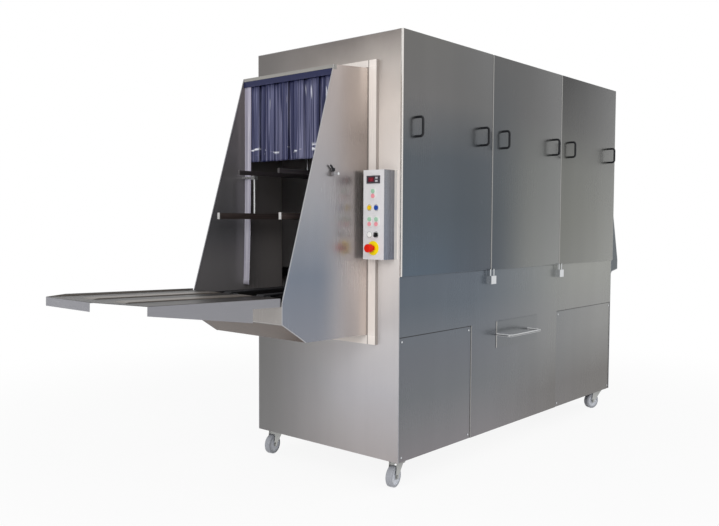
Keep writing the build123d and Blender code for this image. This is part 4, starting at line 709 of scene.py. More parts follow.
    # Painted shade: the stainless conveyor rails are made dark for the shade inside the hood.
    RAIL = BrushedSteel("conveyor_steel", greys((40, 38, 38), (38, 36, 36), (34, 33, 33)),
                        heights=(0.74, 0.92), roughness=0.55, metallic=0.3)
    BRIGHT = BrushedSteel("polished_steel", greys((200, 202, 206), (208, 210, 212), (216, 217, 218)),
                          roughness=0.16)
    HEM = BrushedSteel("folded_hem_steel", greys((168, 169, 174), (172, 173, 176), (178, 176, 176)),
                       roughness=0.24,
                       # Painted shade on the far plate's hems.
                       patches=(Patch(Axis.Y, Places.FAR_PLATE - 0.01, Places.FAR_PLATE + 0.01,
                                      linear(142, 142, 146),
                                      within=Patch(Axis.Z, *Places.HOOD_HEIGHTS, DARK)),))
    # Painted highlight and reflection: the near-white tone with a low mirror share, the greyer bar and the
    # dark line along its middle.
    GRIP = BrushedSteel("drawer_handle_steel", greys((232, 233, 235), (236, 237, 238), (240, 240, 241)),
                        heights=(0.5, 0.7), roughness=0.10, metallic=0.5,
                        patches=(Patch(Axis.Y, Places.DRAWER_GRIP - HAIR, Places.DRAWER_GRIP + 0.0135,
                                       linear(196, 198, 200), 0.004),
                                 Patch(Axis.Z, Places.GRIP_HEIGHT - 0.003, Places.GRIP_HEIGHT + 0.002,
                                       linear(112, 113, 114), 0.002)))
    PIPE = BrushedSteel("pipe_steel", greys((96, 97, 98), (98, 99, 100), (102, 103, 104)))
    TABLE = TableSteel("table_steel", greys((140, 140, 145), (140, 140, 145), (138, 138, 143)),
                       heights=(0.83, 0.95), roughness=0.42, metallic=0.2, specular=0.2)
    ZINC = BrushedSteel("zinc_plate", greys((168, 169, 168), (176, 177, 175), (150, 150, 148)),
                        heights=(0.0, 0.13), clouds=0.30)
    HEATER = BrushedSteel("heater_alloy", greys((120, 112, 104), (126, 118, 110), (132, 124, 116)),
                          heights=(0.2, 0.4), roughness=0.42)


class Plastics:
    """The machine's plastic, painted and film finishes."""

    CURTAIN = CurtainFilm("curtain_film", linear(34, 38, 74), linear(70, 73, 105), linear(164, 164, 194),
                          STRIP_DROP)
    # A paler copy of the curtain film for the far long strip, painted light; the near long strip takes the
    # curtain film.
    LONG_STRIP_PAINTED_LIGHT = CurtainFilm("long_strip_film", linear(172, 168, 186), linear(218, 214, 228),
                             linear(244, 242, 250), 0.963, 0.1)
    CAP = Plastic("white_cap", linear(190, 189, 188), linear(172, 170, 168), 0.38)
    KEY = Plastic("display_keys", linear(186, 184, 190), linear(160, 158, 166), 0.38)
    HANDLE = Plastic("black_grip", linear(30, 31, 34), linear(66, 67, 72), 0.34)
    CHAIN = Plastic("chain_plastic", linear(40, 40, 42), linear(70, 68, 66), 0.55)
    MOTOR = Plastic("motor_paint", linear(86, 92, 100), linear(120, 124, 130), 0.45, 0.12, 500.0)
    FACE = Plastic("face_paint", linear(222, 220, 222), linear(206, 205, 208), 0.36, 0.05)
    BLACK = Plastic("display_plastic", linear(66, 62, 70), linear(90, 86, 94), 0.30)
    BEZEL = Plastic("bezel_grey", linear(228, 228, 226), linear(206, 208, 206), 0.34)
    LAMP = Plastic("lamp_lens", linear(246, 246, 244), linear(232, 232, 226), 0.18, 0.02, gloss=0.6)
    GREEN = Plastic("green_button", linear(158, 200, 172), linear(190, 216, 198), 0.32)
    RED = Plastic("red_button", linear(236, 150, 160), linear(240, 180, 186), 0.32)
    YELLOW = Plastic("yellow_button", linear(232, 190, 8), linear(244, 212, 70), 0.32)
    BLUE = Plastic("blue_button", linear(26, 70, 160), linear(80, 120, 190), 0.32)
    KNOB = Plastic("knob_black", linear(26, 26, 28), linear(60, 60, 64), 0.36)
    STOP = Plastic("stop_red", linear(222, 34, 14), linear(230, 60, 34), 0.40, shine=0.15)
    DISC = Plastic("stop_yellow", linear(250, 228, 24), linear(252, 234, 70), 0.45, shine=0.1)
    WINDOW = Glow("display_window", linear(86, 14, 34), 0.2)
    FIGURES = Glow("display_figures", linear(176, 36, 52), 0.3)


@dataclass
class Shaper:
    """A mesh in the making, with the few operations that the machine's pieces need."""

    mesh: bmesh.types.BMesh = field(default_factory=bmesh.new)

    def block(self, low: Sequence[float], high: Sequence[float], round_off: float = 0.0, segments: int = 2,
              open_side: Optional[Vector] = None) -> list[bmesh.types.BMVert]:
        """Adds a block with rounded edges.

        Args:
            low: Lowest corner.
            high: Highest corner.
            round_off: Radius of the edges.
            segments: Steps round each edge.
            open_side: Outward direction of a side that is left out.

        Returns:
            The block's vertices.
        """
        low, high = Vector(low), Vector(high)
        size = high - low
        place = Matrix.Translation((low + high) / 2) @ Matrix.Diagonal((*size, 1.0))
        verts = bmesh.ops.create_cube(self.mesh, size=1.0, matrix=place)["verts"]
        faces = list({face for vert in verts for face in vert.link_faces})
        if open_side is not None:
            for face in faces:
                face.normal_update()
            gone = [face for face in faces if face.normal.dot(open_side) > 0.9]
            bmesh.ops.delete(self.mesh, geom=gone, context="FACES_ONLY")
        edges = list({edge for vert in verts for edge in vert.link_edges if len(edge.link_faces) > 1})
        if round_off > 0:
            verts = self.bevel(edges, round_off, segments) + [vert for vert in verts if vert.is_valid]
        return verts

    def bevel(self, edges: Sequence[bmesh.types.BMEdge], width: float,
              segments: int = 2) -> list[bmesh.types.BMVert]:
        """Rounds edges off.

        Args:
            edges: The edges.
            width: How far the round goes from the edge.
            segments: Steps of the round.

        Returns:
            The vertices of the round.
        """
        made = bmesh.ops.bevel(self.mesh, geom=list(edges), offset=width, offset_type="OFFSET",
                               segments=segments, profile=0.5, affect="EDGES", clamp_overlap=True,
                               material=-1)
        return made["verts"]

    def turn(self, profile: Sequence[tuple[float, float]], centre: Sequence[float], axis: Vector,
             steps: int = 32) -> list[bmesh.types.BMVert]:
        """Adds a turned piece.

        Args:
            profile: Points as (radius, distance along the axis from the centre), from one end to the other.
            centre: A point on the axis.
            axis: The axis.
            steps: Steps of the turn.

        Returns:
            The piece's vertices.
        """
        centre, axis = Vector(centre), Vector(axis).normalized()
        side = axis.orthogonal().normalized()
        line = [self.mesh.verts.new(centre + side * radius + axis * along) for radius, along in profile]
        edges = [self.mesh.edges.new(pair) for pair in zip(line, line[1:])]
        known = len(self.mesh.verts) - len(line)
        bmesh.ops.spin(self.mesh, geom=line + edges, cent=centre, axis=axis, angle=2 * math.pi, steps=steps,
                       use_merge=True)
        self.mesh.verts.ensure_lookup_table()
        return self.mesh.verts[known:]

    def rod(self, start: Sequence[float], end: Sequence[float], radius: float, round_off: float = 0.0,
            steps: int = 20) -> list[bmesh.types.BMVert]:
        """Adds a round bar with eased ends.

        Args:
            start: Middle of one end.
            end: Middle of the other end.
            radius: Its radius.
            round_off: Radius of the end edges.
            steps: Steps round the bar.

        Returns:
            The bar's vertices.
        """
        axis = Vector(end) - Vector(start)
        length, ease = axis.length, round_off
        near = [(radius - ease, 0.0), (radius, ease)] if ease else [(radius, 0.0)]
        far = [(radius, length - ease), (radius - ease, length)] if ease else [(radius, length)]
        return self.turn([(0.0, 0.0), *near, *far, (0.0, length)], start, axis, steps)

    def piece(self, name: str, body: str, finish: Finish, slot: str, stands_for: Sequence[str] = (),
              sharp: float = 35.0, merge: float = 1e-6) -> bpy.types.Object:
        """Makes the mesh an object that rides on a body.

        Args:
            name: The piece's name.
            body: The body that it rides on.
            finish: Its finish.
            slot: The record's slot of that finish; not used.
            stands_for: CAD nodes that it replaces.
            sharp: Edges past this angle in degrees stay sharp.
            merge: Vertices nearer than this are joined.

        Returns:
            The object.
        """
        bmesh.ops.remove_doubles(self.mesh, verts=self.mesh.verts, dist=merge)
        bmesh.ops.recalc_face_normals(self.mesh, faces=self.mesh.faces)
        data = bpy.data.meshes.new(name)
        self.mesh.to_mesh(data)
        self.mesh.free()
        data.shade_smooth()
        data.set_sharp_from_angle(angle=math.radians(sharp))
        data.materials.append(finish.material())
        made = bpy.data.objects.new(name, data)
        bpy.context.scene.collection.objects.link(made)
        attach(made, body)
        if stands_for:
            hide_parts(*stands_for)
        LOG.info("%s: %d faces on %s", name, len(data.polygons), body)
        return made


def thicken(piece: bpy.types.Object, thickness: float, offset: float) -> None:
    """Gives a sheet its thickness.

    Args:
        piece: The sheet.
        thickness: Its thickness.
        offset: -1 to grow inwards, 1 outwards, 0 both ways.
    """
    wall = piece.modifiers.new("sheet", "SOLIDIFY")
    wall.thickness = thickness
    wall.offset = offset
    wall.use_even_offset = True


@dataclass
class Doors:
    """The three lift-off doors: folded sheet trays with rounded corners and a flange over the roof's edge."""

    corner: float = 0.005
    corner_steps: int = 4
    clearance: float = 0.0003

    def build(self) -> None:
        """Makes every door."""
        for name, finish in zip(DOORS, Steels.DOORS):
            self._leaf(name, finish)

    def _leaf(self, name: str, finish: Finish) -> None:
        """Makes one door in its node's box.

        Args:
            name: The node's and the body's name.
            finish: Its finish.
        """
        low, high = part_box(name)
        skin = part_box("lower_skin")[0].y
        shaper = Shaper()
        shaper.block(low, (high.x, skin - self.clearance, high.z), self.corner, self.corner_steps,
                     Axis.Y.vector)
        rim = [edge for edge in shaper.mesh.edges if edge.is_boundary
               and min(vert.co.z for vert in edge.verts) > high.z - 1e-5]
        grown = bmesh.ops.extrude_edge_only(shaper.mesh, edges=rim)["geom"]
        flange = [item for item in grown if isinstance(item, bmesh.types.BMVert)]
        bmesh.ops.translate(shaper.mesh, verts=flange, vec=(0.0, high.y - skin + self.clearance, 0.0))
        door = shaper.piece(name + "_leaf", name, finish, "door_stainless", [name])
        thicken(door, SHEET, -1.0)


@dataclass
class Strip:
    """One strip of soft film that hangs from its top edge, pleated across its width."""

    end: End
    number: int
    long: bool
    base: float
    middle: float
    width: float
    top: float
    length: float
    bend: float = 0.014
    sway: float = 0.0015
    turn: float = 1.7
    held: float = 0.55

    @property
    def pleats(self) -> float:
        """Waves across the strip."""
        return 0.5 if self.long else 2.0

    @property
    def depth(self) -> float:
        """Half height of the waves."""
        return 0.004 if self.long else 0.0044

    def hang(self, point: Vector) -> Vector:
        """Where a point of the flat strip hangs.

        Args:
            point: The flat strip's point.

        Returns:
            The hung point.
        """
        across = (point.y - self.middle) / self.width
        down = (self.top - point.z) / self.length
        phase = self.turn * self.number
        wave = 2 * math.pi * self.pleats * across + phase + 0.5 * math.sin(3 * down + self.number)
        pleat = self.depth * math.sin(wave) * (self.held + 0.45 * down)
        if self.long:
            sway = self.end.value * self.bend * down ** 3
        else:
            sway = self.sway * math.sin(5 * down + phase) * down
        return Vector((self.base + pleat + sway, point.y, point.z))

    def girth(self, steps: int = 200) -> float:
        """The strip's width when it is laid flat.

        Args:
            steps: Steps that a wave is measured in.

        Returns:
            The flat width.
        """
        mean_share = 0.78
        slope = 2 * math.pi * self.pleats * self.depth * mean_share / self.width
        rises = [math.hypot(1.0, slope * math.cos(2 * math.pi * self.pleats * step / steps))
                 for step in range(steps)]
        return self.width * sum(rises) / steps


@dataclass
class Curtain:
    """A strip curtain: pleated strips of soft film under the rail, and one long strip at each edge."""

    end: End
    strips: int = 12
    film: float = 0.0016
    overlap: float = 0.012
    across: int = 36
    down: int = 40
    layer: float = 0.009
    header: tuple[float, float] = (0.0010, 0.024)
    header_lap: float = 0.004

    @property
    def node(self) -> str:
        """The CAD node that the curtain stands for."""
        return self.end.name.lower() + "_curtain"

    def build(self) -> None:
        """Makes every strip of the curtain and the header that holds them."""
        low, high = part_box(self.node)
        pitch = (high.y - low.y) / self.strips
        for number in range(self.strips):
            long = number in (0, self.strips - 1)
            shift = self.layer if long else self.layer * (0.5 - number % 2)
            bottom = low.z if long else high.z - STRIP_DROP
            self._strip(Strip(self.end, number, long, (low.x + high.x) / 2 + self.end.value * shift,
                              low.y + (number + 0.5) * pitch, pitch if long else pitch + self.overlap,
                              high.z, high.z - bottom))
        face = low.x if self.end is End.INFEED else high.x
        shaper = Shaper()
        ends = sorted((face, face - self.end.value * self.header[0]))
        shaper.block((ends[0], low.y, high.z - self.header_lap), (ends[1], high.y, high.z + self.header[1]),
                     0.0003, 1)
        shaper.piece(self.node + "_header", MACHINE, Plastics.CURTAIN, "curtain_pvc", [self.node])

    def _strip(self, strip: Strip) -> None:
        """Makes one strip.

        Args:
            strip: Its place and sizes.
        """
        shaper = Shaper()
        centre = (strip.base, strip.middle, (strip.top + (strip.top - strip.length)) / 2)
        turned = Matrix.Translation(centre) @ Matrix.Rotation(math.pi / 2, 4, "Y")
        scaled = turned @ Matrix.Diagonal((strip.length / 2, strip.width / 2, 1.0, 1.0))
        bmesh.ops.create_grid(shaper.mesh, x_segments=self.down, y_segments=self.across, size=1.0,
                              matrix=scaled)
        for vert in shaper.mesh.verts:
            vert.co = strip.hang(vert.co)
        # The far long strip takes the paler painted-light copy of the film.
        finish = Plastics.LONG_STRIP_PAINTED_LIGHT if strip.number == self.strips - 1 else Plastics.CURTAIN
        made = shaper.piece(f"{self.node}_strip_{strip.number + 1:02d}", MACHINE, finish, "curtain_pvc",
                            [self.node], sharp=80.0)
        strip.girth()
        thicken(made, self.film, 0.0)


@dataclass
class Chains:
    """The two conveyor chains: hinged plates round both chain wheels."""

    pitch: float = 0.0381
    gap: float = 0.0022
    plate: float = 0.0056
    hinge: float = 0.0042
    width: float = 0.050

    def build(self) -> None:
        """Makes both chains as one piece."""
        low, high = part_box("conveyor_chains")
        reach = (high.z - low.z) / 2
        start, stop = low.x + reach, high.x - reach
        level = (low.z + high.z) / 2
        around = 2 * (stop - start) + 2 * math.pi * reach
        count = round(around / self.pitch)
        link = self._link()
        shaper = Shaper()
        for near in (low.y, high.y - self.width):
            for index in range(count):
                point, angle = self._place(index / count * around, start, stop, level, reach)
                place = Matrix.Translation((point.x, near, point.z)) @ Matrix.Rotation(angle, 4, "Y")
                link.transform(place)
                shaper.mesh.from_mesh(link)
                link.transform(place.inverted())
        bpy.data.meshes.remove(link)
        shaper.piece("conveyor_chain_links", MACHINE, Plastics.CHAIN, "chain_plastic", ["conveyor_chains"])

    @staticmethod
    def _place(along: float, start: float, stop: float, level: float, reach: float) -> tuple[Vector, float]:
        """A point of the chain's outer line.

        Args:
            along: Distance along the line from the idler's top.
            start: X of the idler shaft.
            stop: X of the drive shaft.
            level: Height of both shafts.
            reach: Distance of the line from a shaft.

        Returns:
            The point, and the angle that the chain has turned there.
        """
        run, arc = stop - start, math.pi * reach
        if along < run:
            return Vector((start + along, 0.0, level + reach)), 0.0
        if along < run + arc:
            angle = (along - run) / reach
            return Vector((stop + reach * math.sin(angle), 0.0, level + reach * math.cos(angle))), angle
        if along < 2 * run + arc:
            return Vector((stop - (along - run - arc), 0.0, level - reach)), math.pi
        angle = math.pi + (along - 2 * run - arc) / reach
        return Vector((start + reach * math.sin(angle), 0.0, level + reach * math.cos(angle))), angle

    def _link(self) -> bpy.types.Mesh:
        """Makes one plate with the hinge under its leading edge, its outer face centred on the X axis.

        Returns:
            The link's mesh.
        """
        half = (self.pitch - self.gap) / 2
        shaper = Shaper()
        shaper.block((-half, 0.0, -self.plate), (half, self.width, 0.0), 0.0012, 1)
        lead, depth, inset = self.pitch / 2, -self.plate + self.hinge / 2, 0.003
        shaper.rod((lead, inset, depth), (lead, self.width - inset, depth), self.hinge / 2, steps=6)
        link = bpy.data.meshes.new("chain_link")
        shaper.mesh.to_mesh(link)
        shaper.mesh.free()
        return link


@dataclass
class HoodTrim:
    """Folded hems along the hood plates' free edges, and bright rods along the cabinet's corners as painted
    highlights.
    """

    hem: float = 0.0026
    seam: float = 0.0016
    infeed_edge: tuple[tuple[float, float], ...] = (
        (0.255, 1.805), (0.569, 0.771), (0.569, 0.682), (0.426, 0.591))
    outfeed_edge: tuple[tuple[float, float], ...] = (
        (0.255, 1.805), (0.512, 0.843), (0.512, 0.777), (0.417, 0.762), (0.256, 0.584))

    def build(self) -> None:
        """Makes the hems and the seams."""
        for end, edge in ((End.INFEED, self.infeed_edge), (End.OUTFEED, self.outfeed_edge)):
            self._hems(end, edge)
        self._seams()

    def _hems(self, end: End, edge: Sequence[tuple[float, float]]) -> None:
        """Makes the hems of one hood's two plates.

        Args:
            end: Which hood.
            edge: The free edge as (reach from the wall, height above the cabinet's underside).
        """
        name = end.name.lower() + "_hood"
        low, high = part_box(name)
        wall = high.x if end is End.INFEED else low.x
        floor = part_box("end_walls")[0].z
        shaper = Shaper()
        for side in (low.y + COLLAR_WIDTH + SHEET / 2, high.y - COLLAR_WIDTH - SHEET / 2):
            line = [Vector((wall + end.value * (reach - self.hem), side, floor + rise))
                    for reach, rise in edge]
            for start, stop in zip(line, line[1:]):
                shaper.rod(start, stop, self.hem, self.hem * 0.5, 10)
        shaper.piece(name + "_hems", MACHINE, Steels.HEM, "bright_stainless")

    def _seams(self) -> None:
        """Makes bright rods down the cabinet's corners and along the top of its end walls, painted highlights
        along those edges.
        """
        low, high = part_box("end_walls")
        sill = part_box("infeed_door")[0].z
        inset = self.seam * 0.55
        shaper = Shaper()
        for x, inward in ((low.x, 1), (high.x, -1)):
            x += inward * inset
            for y, top in ((low.y + inset, sill - 0.002), (high.y - inset, high.z - inset)):
                shaper.rod((x, y, low.z), (x, y, top), self.seam, 0.0006, 8)
            shaper.rod((x, low.y + 0.03, high.z - inset), (x, high.y, high.z - inset), self.seam, 0.0006, 8)
        shaper.piece("cabinet_seams", MACHINE, Steels.HEM, "bright_stainless")


@dataclass
class Gaskets:
    """Dark rubber in the joints between the closed side's panels."""

    overlap: float = 0.001
    depth: float = 0.003
    recess: float = 0.0008
    roof_edge: float = 0.022

    def build(self) -> None:
        """Makes the strips in the long joint and in the upright ones."""
        low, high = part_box("end_walls")
        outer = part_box("side_panels")[1].y - self.recess
        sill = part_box(DOORS[0])[0].z
        half = PANEL_GAP / 2 + self.overlap
        shaper = Shaper()
        shaper.block((low.x + SHEET, outer - self.depth, sill - half), (high.x - SHEET, outer, sill + half))
        for door in DOORS[1:]:
            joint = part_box(door)[0].x - PANEL_GAP / 2
            shaper.block((joint - half, outer - self.depth, low.z + SHEET),
                         (joint + half, outer, high.z - (self.roof_edge + self.overlap)))
        shaper.piece("panel_gaskets", MACHINE, Plastics.KNOB, "knob_black")


@dataclass
class Controls:
    """Small details: the bezels' lips, the selector, the thermostat and the side guides' plugs."""

    lip: float = 0.0009
    round_bezel: float = 0.015
    figure: tuple[float, float] = (0.0062, 0.0115)
    stroke: float = 0.0013
    window: tuple[float, float] = (0.0356, 0.0206)
    window_shift: float = 0.0105
    key: tuple[float, float] = (0.0135, 0.009)
    key_shift: float = 0.022
    key_pitch: float = 0.014
    cap: float = 0.0012
    cap_length: float = 0.002
    guide_width: float = 0.012
    skirt: float = 0.0106
    grip: float = 0.0042
    mark: float = 0.0006
    digits: tuple[int, ...] = (5, 8)
    segments: dict[int, str] = field(default_factory=lambda: {5: "afgcd", 8: "abcdefg"})

    def build(self) -> None:
        """Makes every detail."""
        self._lips()
        self._selector()
        self._thermostat()
        self._guide_caps()

    def _centre(self, node: str) -> Vector:
        """Middle of a node's box."""
        low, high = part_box(node)
        return (low + high) / 2

    def _lips(self) -> None:
        """Makes the rounded lip of every round bezel."""
        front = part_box("button_bezels")[0].x
        shaper = Shaper()
        ring = [(self.round_bezel - self.lip + self.lip * math.cos(math.tau * step / 8),
                 self.lip * math.sin(math.tau * step / 8)) for step in range(9)]
        for node in ("yellow_button", "blue_button", "pilot_lamp", "selector_knob"):
            middle = self._centre(node)
            shaper.turn(ring, (front, middle.y, middle.z), -Axis.X.vector, 36)
        shaper.piece("bezel_lips", MACHINE, Steels.BRIGHT, "bright_stainless")

    def _selector(self) -> None:
        """Makes the rotary selector with its tapered grip and white mark."""
        low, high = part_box("selector_knob")
        middle = self._centre("selector_knob")
        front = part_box("button_bezels")[0].x
        depth = front - low.x
        shaper = Shaper()
        profile = [(0.0, 0.0), (self.skirt - 0.0004, 0.0), (self.skirt, 0.0006), (self.skirt, depth * 0.32),
                   (self.skirt - 0.0008, depth * 0.40), (0.0, depth * 0.40)]
        shaper.turn(profile, (front, middle.y, middle.z), -Axis.X.vector, 40)
        shaper.block((low.x, middle.y - self.grip, low.z + 0.0004),
                     (front - depth * 0.3, middle.y + self.grip, high.z - 0.0004), 0.0022, 3)
        shaper.piece("selector_grip", "selector_knob", Plastics.KNOB, "knob_black", ["selector_knob"])
        mark = Shaper()
        mark.block((low.x - 0.0003, middle.y - self.mark, middle.z + 0.001),
                   (low.x + 0.001, middle.y + self.mark, high.z - 0.002), 0.0002, 1)
        mark.piece("selector_mark", "selector_knob", Plastics.CAP, "lamp_white")

    def _thermostat(self) -> None:
        """Makes the thermostat's red window in its recess, the lit figures and two keys."""
        low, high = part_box("display_unit")
        middle = (low + high) / 2
        left = middle.y + self.window_shift
        half_y, half_z = self.window[0] / 2, self.window[1] / 2
        pane = Shaper()
        pane.block((low.x + 0.0016, left - half_y, middle.z - half_z),
                   (low.x + 0.0022, left + half_y, middle.z + half_z))
        pane.piece("display_window_pane", MACHINE, Plastics.WINDOW, "display_black")
        figures = Shaper()
        step = self.figure[0] + 0.0035
        for place, digit in enumerate(self.digits):
            self._figure(figures, digit, Vector((low.x + 0.0013, left + step * (0.5 - place), middle.z)))
        figures.piece("display_figures_lit", MACHINE, Plastics.FIGURES, "stop_red")
        keys = Shaper()
        for side in (-1, 1):
            centre = Vector((low.x, middle.y - self.key_shift, middle.z + side * self.key_pitch / 2))
            reach = Vector((0.0008, self.key[0] / 2, self.key[1] / 2))
            keys.block(centre - reach, centre + reach, 0.0006, 2)
        keys.piece("display_keys_pair", MACHINE, Plastics.KEY, "lamp_white")

    def _figure(self, shaper: Shaper, digit: int, centre: Vector) -> None:
        """Adds one seven-bar figure, seen from outside.

        Args:
            shaper: The mesh.
            digit: The number.
            centre: Its middle.
        """
        wide, tall = self.figure[0] / 2, self.figure[1] / 2
        bars = {"a": (0, tall, True), "g": (0, 0, True), "d": (0, -tall, True), "f": (1, tall / 2, False),
                "b": (-1, tall / 2, False), "e": (1, -tall / 2, False), "c": (-1, -tall / 2, False)}
        for letter in self.segments[digit]:
            side, rise, level = bars[letter]
            half_y = wide - self.stroke * 0.6 if level else self.stroke / 2
            half_z = self.stroke / 2 if level else tall / 2 - self.stroke * 0.4
            middle = centre + Vector((0.0, side * wide, rise))
            reach = Vector((0.0002, half_y, half_z))
            shaper.block(middle - reach, middle + reach, 0.0001, 1)

    def _guide_caps(self) -> None:
        """Makes the white plugs on the ends of the side guides."""
        for side in ("door_side", "far_side"):
            body = side + "_guide"
            low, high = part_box(body)
            y_in = high.y if side == "door_side" else low.y
            y_out = y_in - self.guide_width if side == "door_side" else y_in + self.guide_width
            shaper = Shaper()
            for x, out in ((low.x, -1), (high.x, 1)):
                ends = sorted((x - out * self.cap_length, x + out * self.cap_length))
                near, far = sorted((y_in, y_out))
                shaper.block((ends[0], near - self.cap, low.z - self.cap),
                             (ends[1], far + self.cap, low.z + GUIDE_HEIGHT + self.cap), self.cap, 2)
            shaper.piece(body + "_caps", body, Plastics.CAP, "lamp_white")


@dataclass(frozen=True)
class GuideFinish(Finish):
    """A side guide's dark plastic rail below its bright steel carriers."""

    name: str
    rail: Colour
    steel: Colour
    split: float

    def write(self, paint: Paint) -> bpy.types.Material:
        """Writes the two finishes, parted by height.

        Args:
            paint: The empty material.

        Returns:
            The material.
        """
        place = paint.place()
        high = paint.part(place, Axis.Z).above(self.split, 0.0008)
        scuffs = paint.noise(paint.scaled(place, (3.0, 90.0, 90.0)), 1.0, 3.0)
        rail = paint.mix(scuffs.above(0.58, 0.3) * 0.5, self.rail, tuple(v * 2.2 + 0.01 for v in self.rail))
        bright = paint.mix(scuffs * 0.5, self.steel, tuple(v * 0.8 for v in self.steel))
        rough = 0.42 - high * 0.18 + (scuffs - 0.5) * 0.12
        return paint.finish(Base_Color=paint.mix(high, rail, bright), Metallic=high * 0.85, Roughness=rough,
                            Normal=paint.bump(scuffs, 0.08, 0.0005))


@dataclass
class Dress:
    """The finish of every CAD node that keeps its own mesh."""

    guide: Finish = GuideFinish("side_guide_rail", linear(52, 44, 42), linear(222, 223, 224),
                                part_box("door_side_guide")[0].z + GUIDE_HEIGHT)
    hold_down: Finish = GuideFinish("hold_down_rail", linear(44, 40, 42), linear(196, 197, 200),
                                    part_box("hold_down_rails")[0].z + HOLD_DOWN_DEPTH)

    def table(self) -> dict[Finish, tuple[str, ...]]:
        """Tells which nodes take which finish.

        Returns:
            The nodes of each finish.
        """
        castors = [f"{end}_{side}_castor" for end in ("infeed", "outfeed") for side in ("door", "far")]
        buttons = ("wash", "rinse", "conveyor")
        return {
            Steels.WALL: ("end_walls", "roof_panel", "wash_tank"),
            Steels.SKIN: ("lower_skin",),
            Steels.PANEL: ("side_panels",),
            Steels.DRAWER: ("filter_drawer",),
            **{finish: (door,) for finish, door in zip(Steels.DOORS, DOORS)},
            Steels.HOOD: ("infeed_hood",),
            Steels.OUT_HOOD: ("outfeed_hood",),
            Steels.BOX: ("control_box",),
            Steels.FRAME: ("frame",),
            Steels.RAIL: ("conveyor_rails",),
            Steels.BRIGHT: ("panel_screws", "door_catches", "drive_shaft", "idler_shaft"),
            Steels.GRIP: ("drawer_handle",),
            Steels.PIPE: ("spray_pipes", "service_connections"),
            Steels.TABLE: ("loading_table",),
            Steels.ZINC: ("castor_plates", *(castor + "_fork" for castor in castors)),
            Steels.HEATER: ("tank_heaters",),
            self.guide: ("door_side_guide", "far_side_guide"),
            self.hold_down: ("hold_down_rails",),
            Plastics.CURTAIN: ("infeed_curtain", "outfeed_curtain"),
            Plastics.HANDLE: (*(door + "_handles" for door in DOORS), "door_side_clamp_lever",
                              "far_side_clamp_lever"),
            Plastics.CHAIN: ("conveyor_chains",),
            Plastics.MOTOR: ("gearmotor", "wash_pump"),
            Plastics.FACE: ("control_face",),
            Plastics.BLACK: ("display_unit",),
            Plastics.BEZEL: ("button_bezels",),
            Plastics.LAMP: ("pilot_lamp",),
            Plastics.GREEN: tuple(button + "_start_button" for button in buttons),
            Plastics.RED: tuple(button + "_stop_button" for button in buttons),
            Plastics.YELLOW: ("yellow_button",),
            Plastics.BLUE: ("blue_button",),
            Plastics.KNOB: ("selector_knob",),
            Plastics.STOP: ("stop_button",),
            Plastics.DISC: ("stop_disc",),
            **{self._wheel(castor + "_wheel"): (castor + "_wheel",) for castor in castors},
        }

    @staticmethod
    def _wheel(node: str) -> Finish:
        """Makes a castor wheel's finish.

        Args:
            node: The wheel's node.

        Returns:
            The finish.
        """
        low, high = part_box(node)
        return WheelPlastic(node + "_plastic", linear(216, 219, 226), linear(150, 152, 158), 0.40,
                            middle=tuple((low + high) / 2))

    def build(self) -> None:
        """Gives every node its finish."""
        for finish, nodes in self.table().items():
            for node in nodes:
                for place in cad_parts[node].material_slots:
                    place.material = finish.material()
            LOG.info("%s: %s", finish.name, ", ".join(nodes))


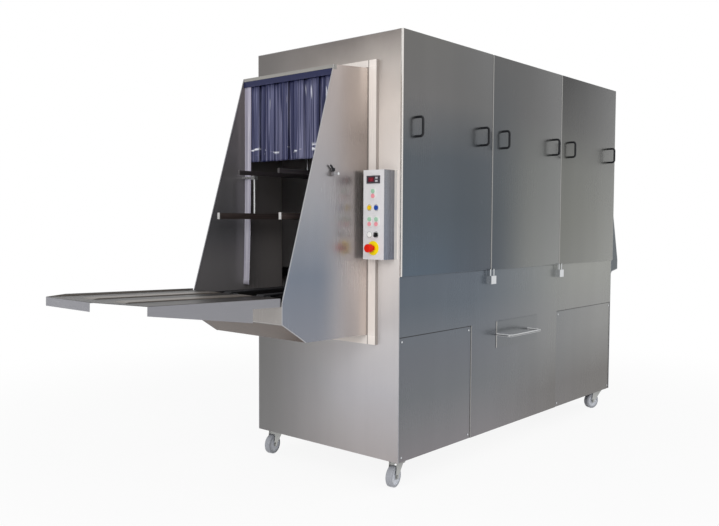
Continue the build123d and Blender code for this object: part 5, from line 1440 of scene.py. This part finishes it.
@dataclass
class Studio:
    """White surroundings, soft lights and the camera."""

    place: tuple[float, float, float] = (Places.WALL - 2.881, -2.7235, 1.245)
    yaw: float = 41.0
    pitch: float = -2.99
    roll: float = 0.27
    lens: float = 40.34
    ambient: float = 0.6
    shadow: float = 0.10

    def build(self) -> None:
        """Makes the surroundings, the lights and the camera."""
        bpy.context.scene.view_settings.view_transform = "Standard"
        self._world()
        self._floor()
        self._lamp("key_light", (-4.5, -5.5, 5.0), (0.0, 0.0, 1.0), (5.0, 4.0), 120.0)
        self._lamp("fill_light", (4.5, -5.0, 3.2), (0.5, 0.0, 0.9), (4.0, 3.0), 60.0)
        self._lamp("infeed_light", (-6.5, -1.6, 2.4), (-0.9, 0.0, 1.3), (3.0, 3.0), 110.0)
        self._camera()

    def _world(self) -> None:
        """Makes the world white where it shows and softer where it lights."""
        world = bpy.data.worlds.new("white_room")
        bpy.context.scene.world = world
        paint = Paint(world)
        strength = self.ambient + paint.surroundings() * (1.0 - self.ambient)
        sky = paint.node("ShaderNodeBackground", {}, {"Color": (1.0, 1.0, 1.0), "Strength": strength})
        paint.close(sky, "World")

    def _floor(self) -> None:
        """Makes a pale floor that keeps a soft shadow and fades into the white."""
        data = bpy.data.meshes.new("studio_floor")
        sheet = bmesh.new()
        bmesh.ops.create_grid(sheet, x_segments=1, y_segments=1, size=30.0,
                              matrix=Matrix.Translation((0.0, 0.0, -0.0005)))
        sheet.to_mesh(data)
        sheet.free()
        paint = Paint(bpy.data.materials.new("studio_floor"))
        white = paint.node("ShaderNodeEmission", {}, {"Color": (1.0, 1.0, 1.0), "Strength": 1.0})
        matt = paint.node("ShaderNodeBsdfDiffuse", {}, {"Color": (0.9, 0.9, 0.9)})
        away = paint.node("ShaderNodeVectorMath", {"operation": "LENGTH"}, {0: paint.place()}, output="Value")
        share = paint.surroundings() * (1.0 - self.shadow + away.above(3.2, 2.4) * self.shadow)
        mixed = paint.node("ShaderNodeMixShader", {}, {0: share, 1: matt, 2: white})
        data.materials.append(paint.close(mixed))
        floor = bpy.data.objects.new("studio_floor", data)
        bpy.context.scene.collection.objects.link(floor)

    @staticmethod
    def _lamp(name: str, place: Sequence[float], aim: Sequence[float], size: tuple[float, float],
              power: float) -> None:
        """Makes a soft box.

        Args:
            name: Its name.
            place: Where it stands.
            aim: The point that it faces.
            size: Width and height.
            power: Its power in watts.
        """
        data = bpy.data.lights.new(name, "AREA")
        data.shape = "RECTANGLE"
        data.size, data.size_y = size
        data.energy = power
        lamp = bpy.data.objects.new(name, data)
        lamp.visible_glossy = False
        way = Vector(aim) - Vector(place)
        lamp.matrix_world = Matrix.Translation(place) @ way.to_track_quat("-Z", "Y").to_matrix().to_4x4()
        bpy.context.scene.collection.objects.link(lamp)

    def _camera(self) -> None:
        """Makes the camera at the photograph's place and angle."""
        yaw, pitch, roll = (math.radians(angle) for angle in (self.yaw, self.pitch, self.roll))
        ahead = Vector((math.cos(pitch) * math.cos(yaw), math.cos(pitch) * math.sin(yaw), math.sin(pitch)))
        level = ahead.cross(Axis.Z.vector).normalized()
        upright = level.cross(ahead)
        right = level * math.cos(roll) + upright * math.sin(roll)
        up = upright * math.cos(roll) - level * math.sin(roll)
        turn = Matrix((right, up, -ahead)).transposed().to_4x4()
        data = bpy.data.cameras.new("photo_camera")
        data.lens = self.lens
        data.sensor_width = 36.0
        camera = bpy.data.objects.new("photo_camera", data)
        camera.matrix_world = Matrix.Translation(self.place) @ turn
        bpy.context.scene.collection.objects.link(camera)
        bpy.context.scene.camera = camera


def main() -> None:
    """Builds the machine's looks, piece by piece, and its studio."""
    logging.basicConfig(level=logging.INFO, format="%(name)s: %(message)s")
    Dress().build()
    Doors().build()
    for end in End:
        Curtain(end).build()
    Chains().build()
    HoodTrim().build()
    Gaskets().build()
    Controls().build()
    Studio().build()


if __name__ == "__main__":
    main()
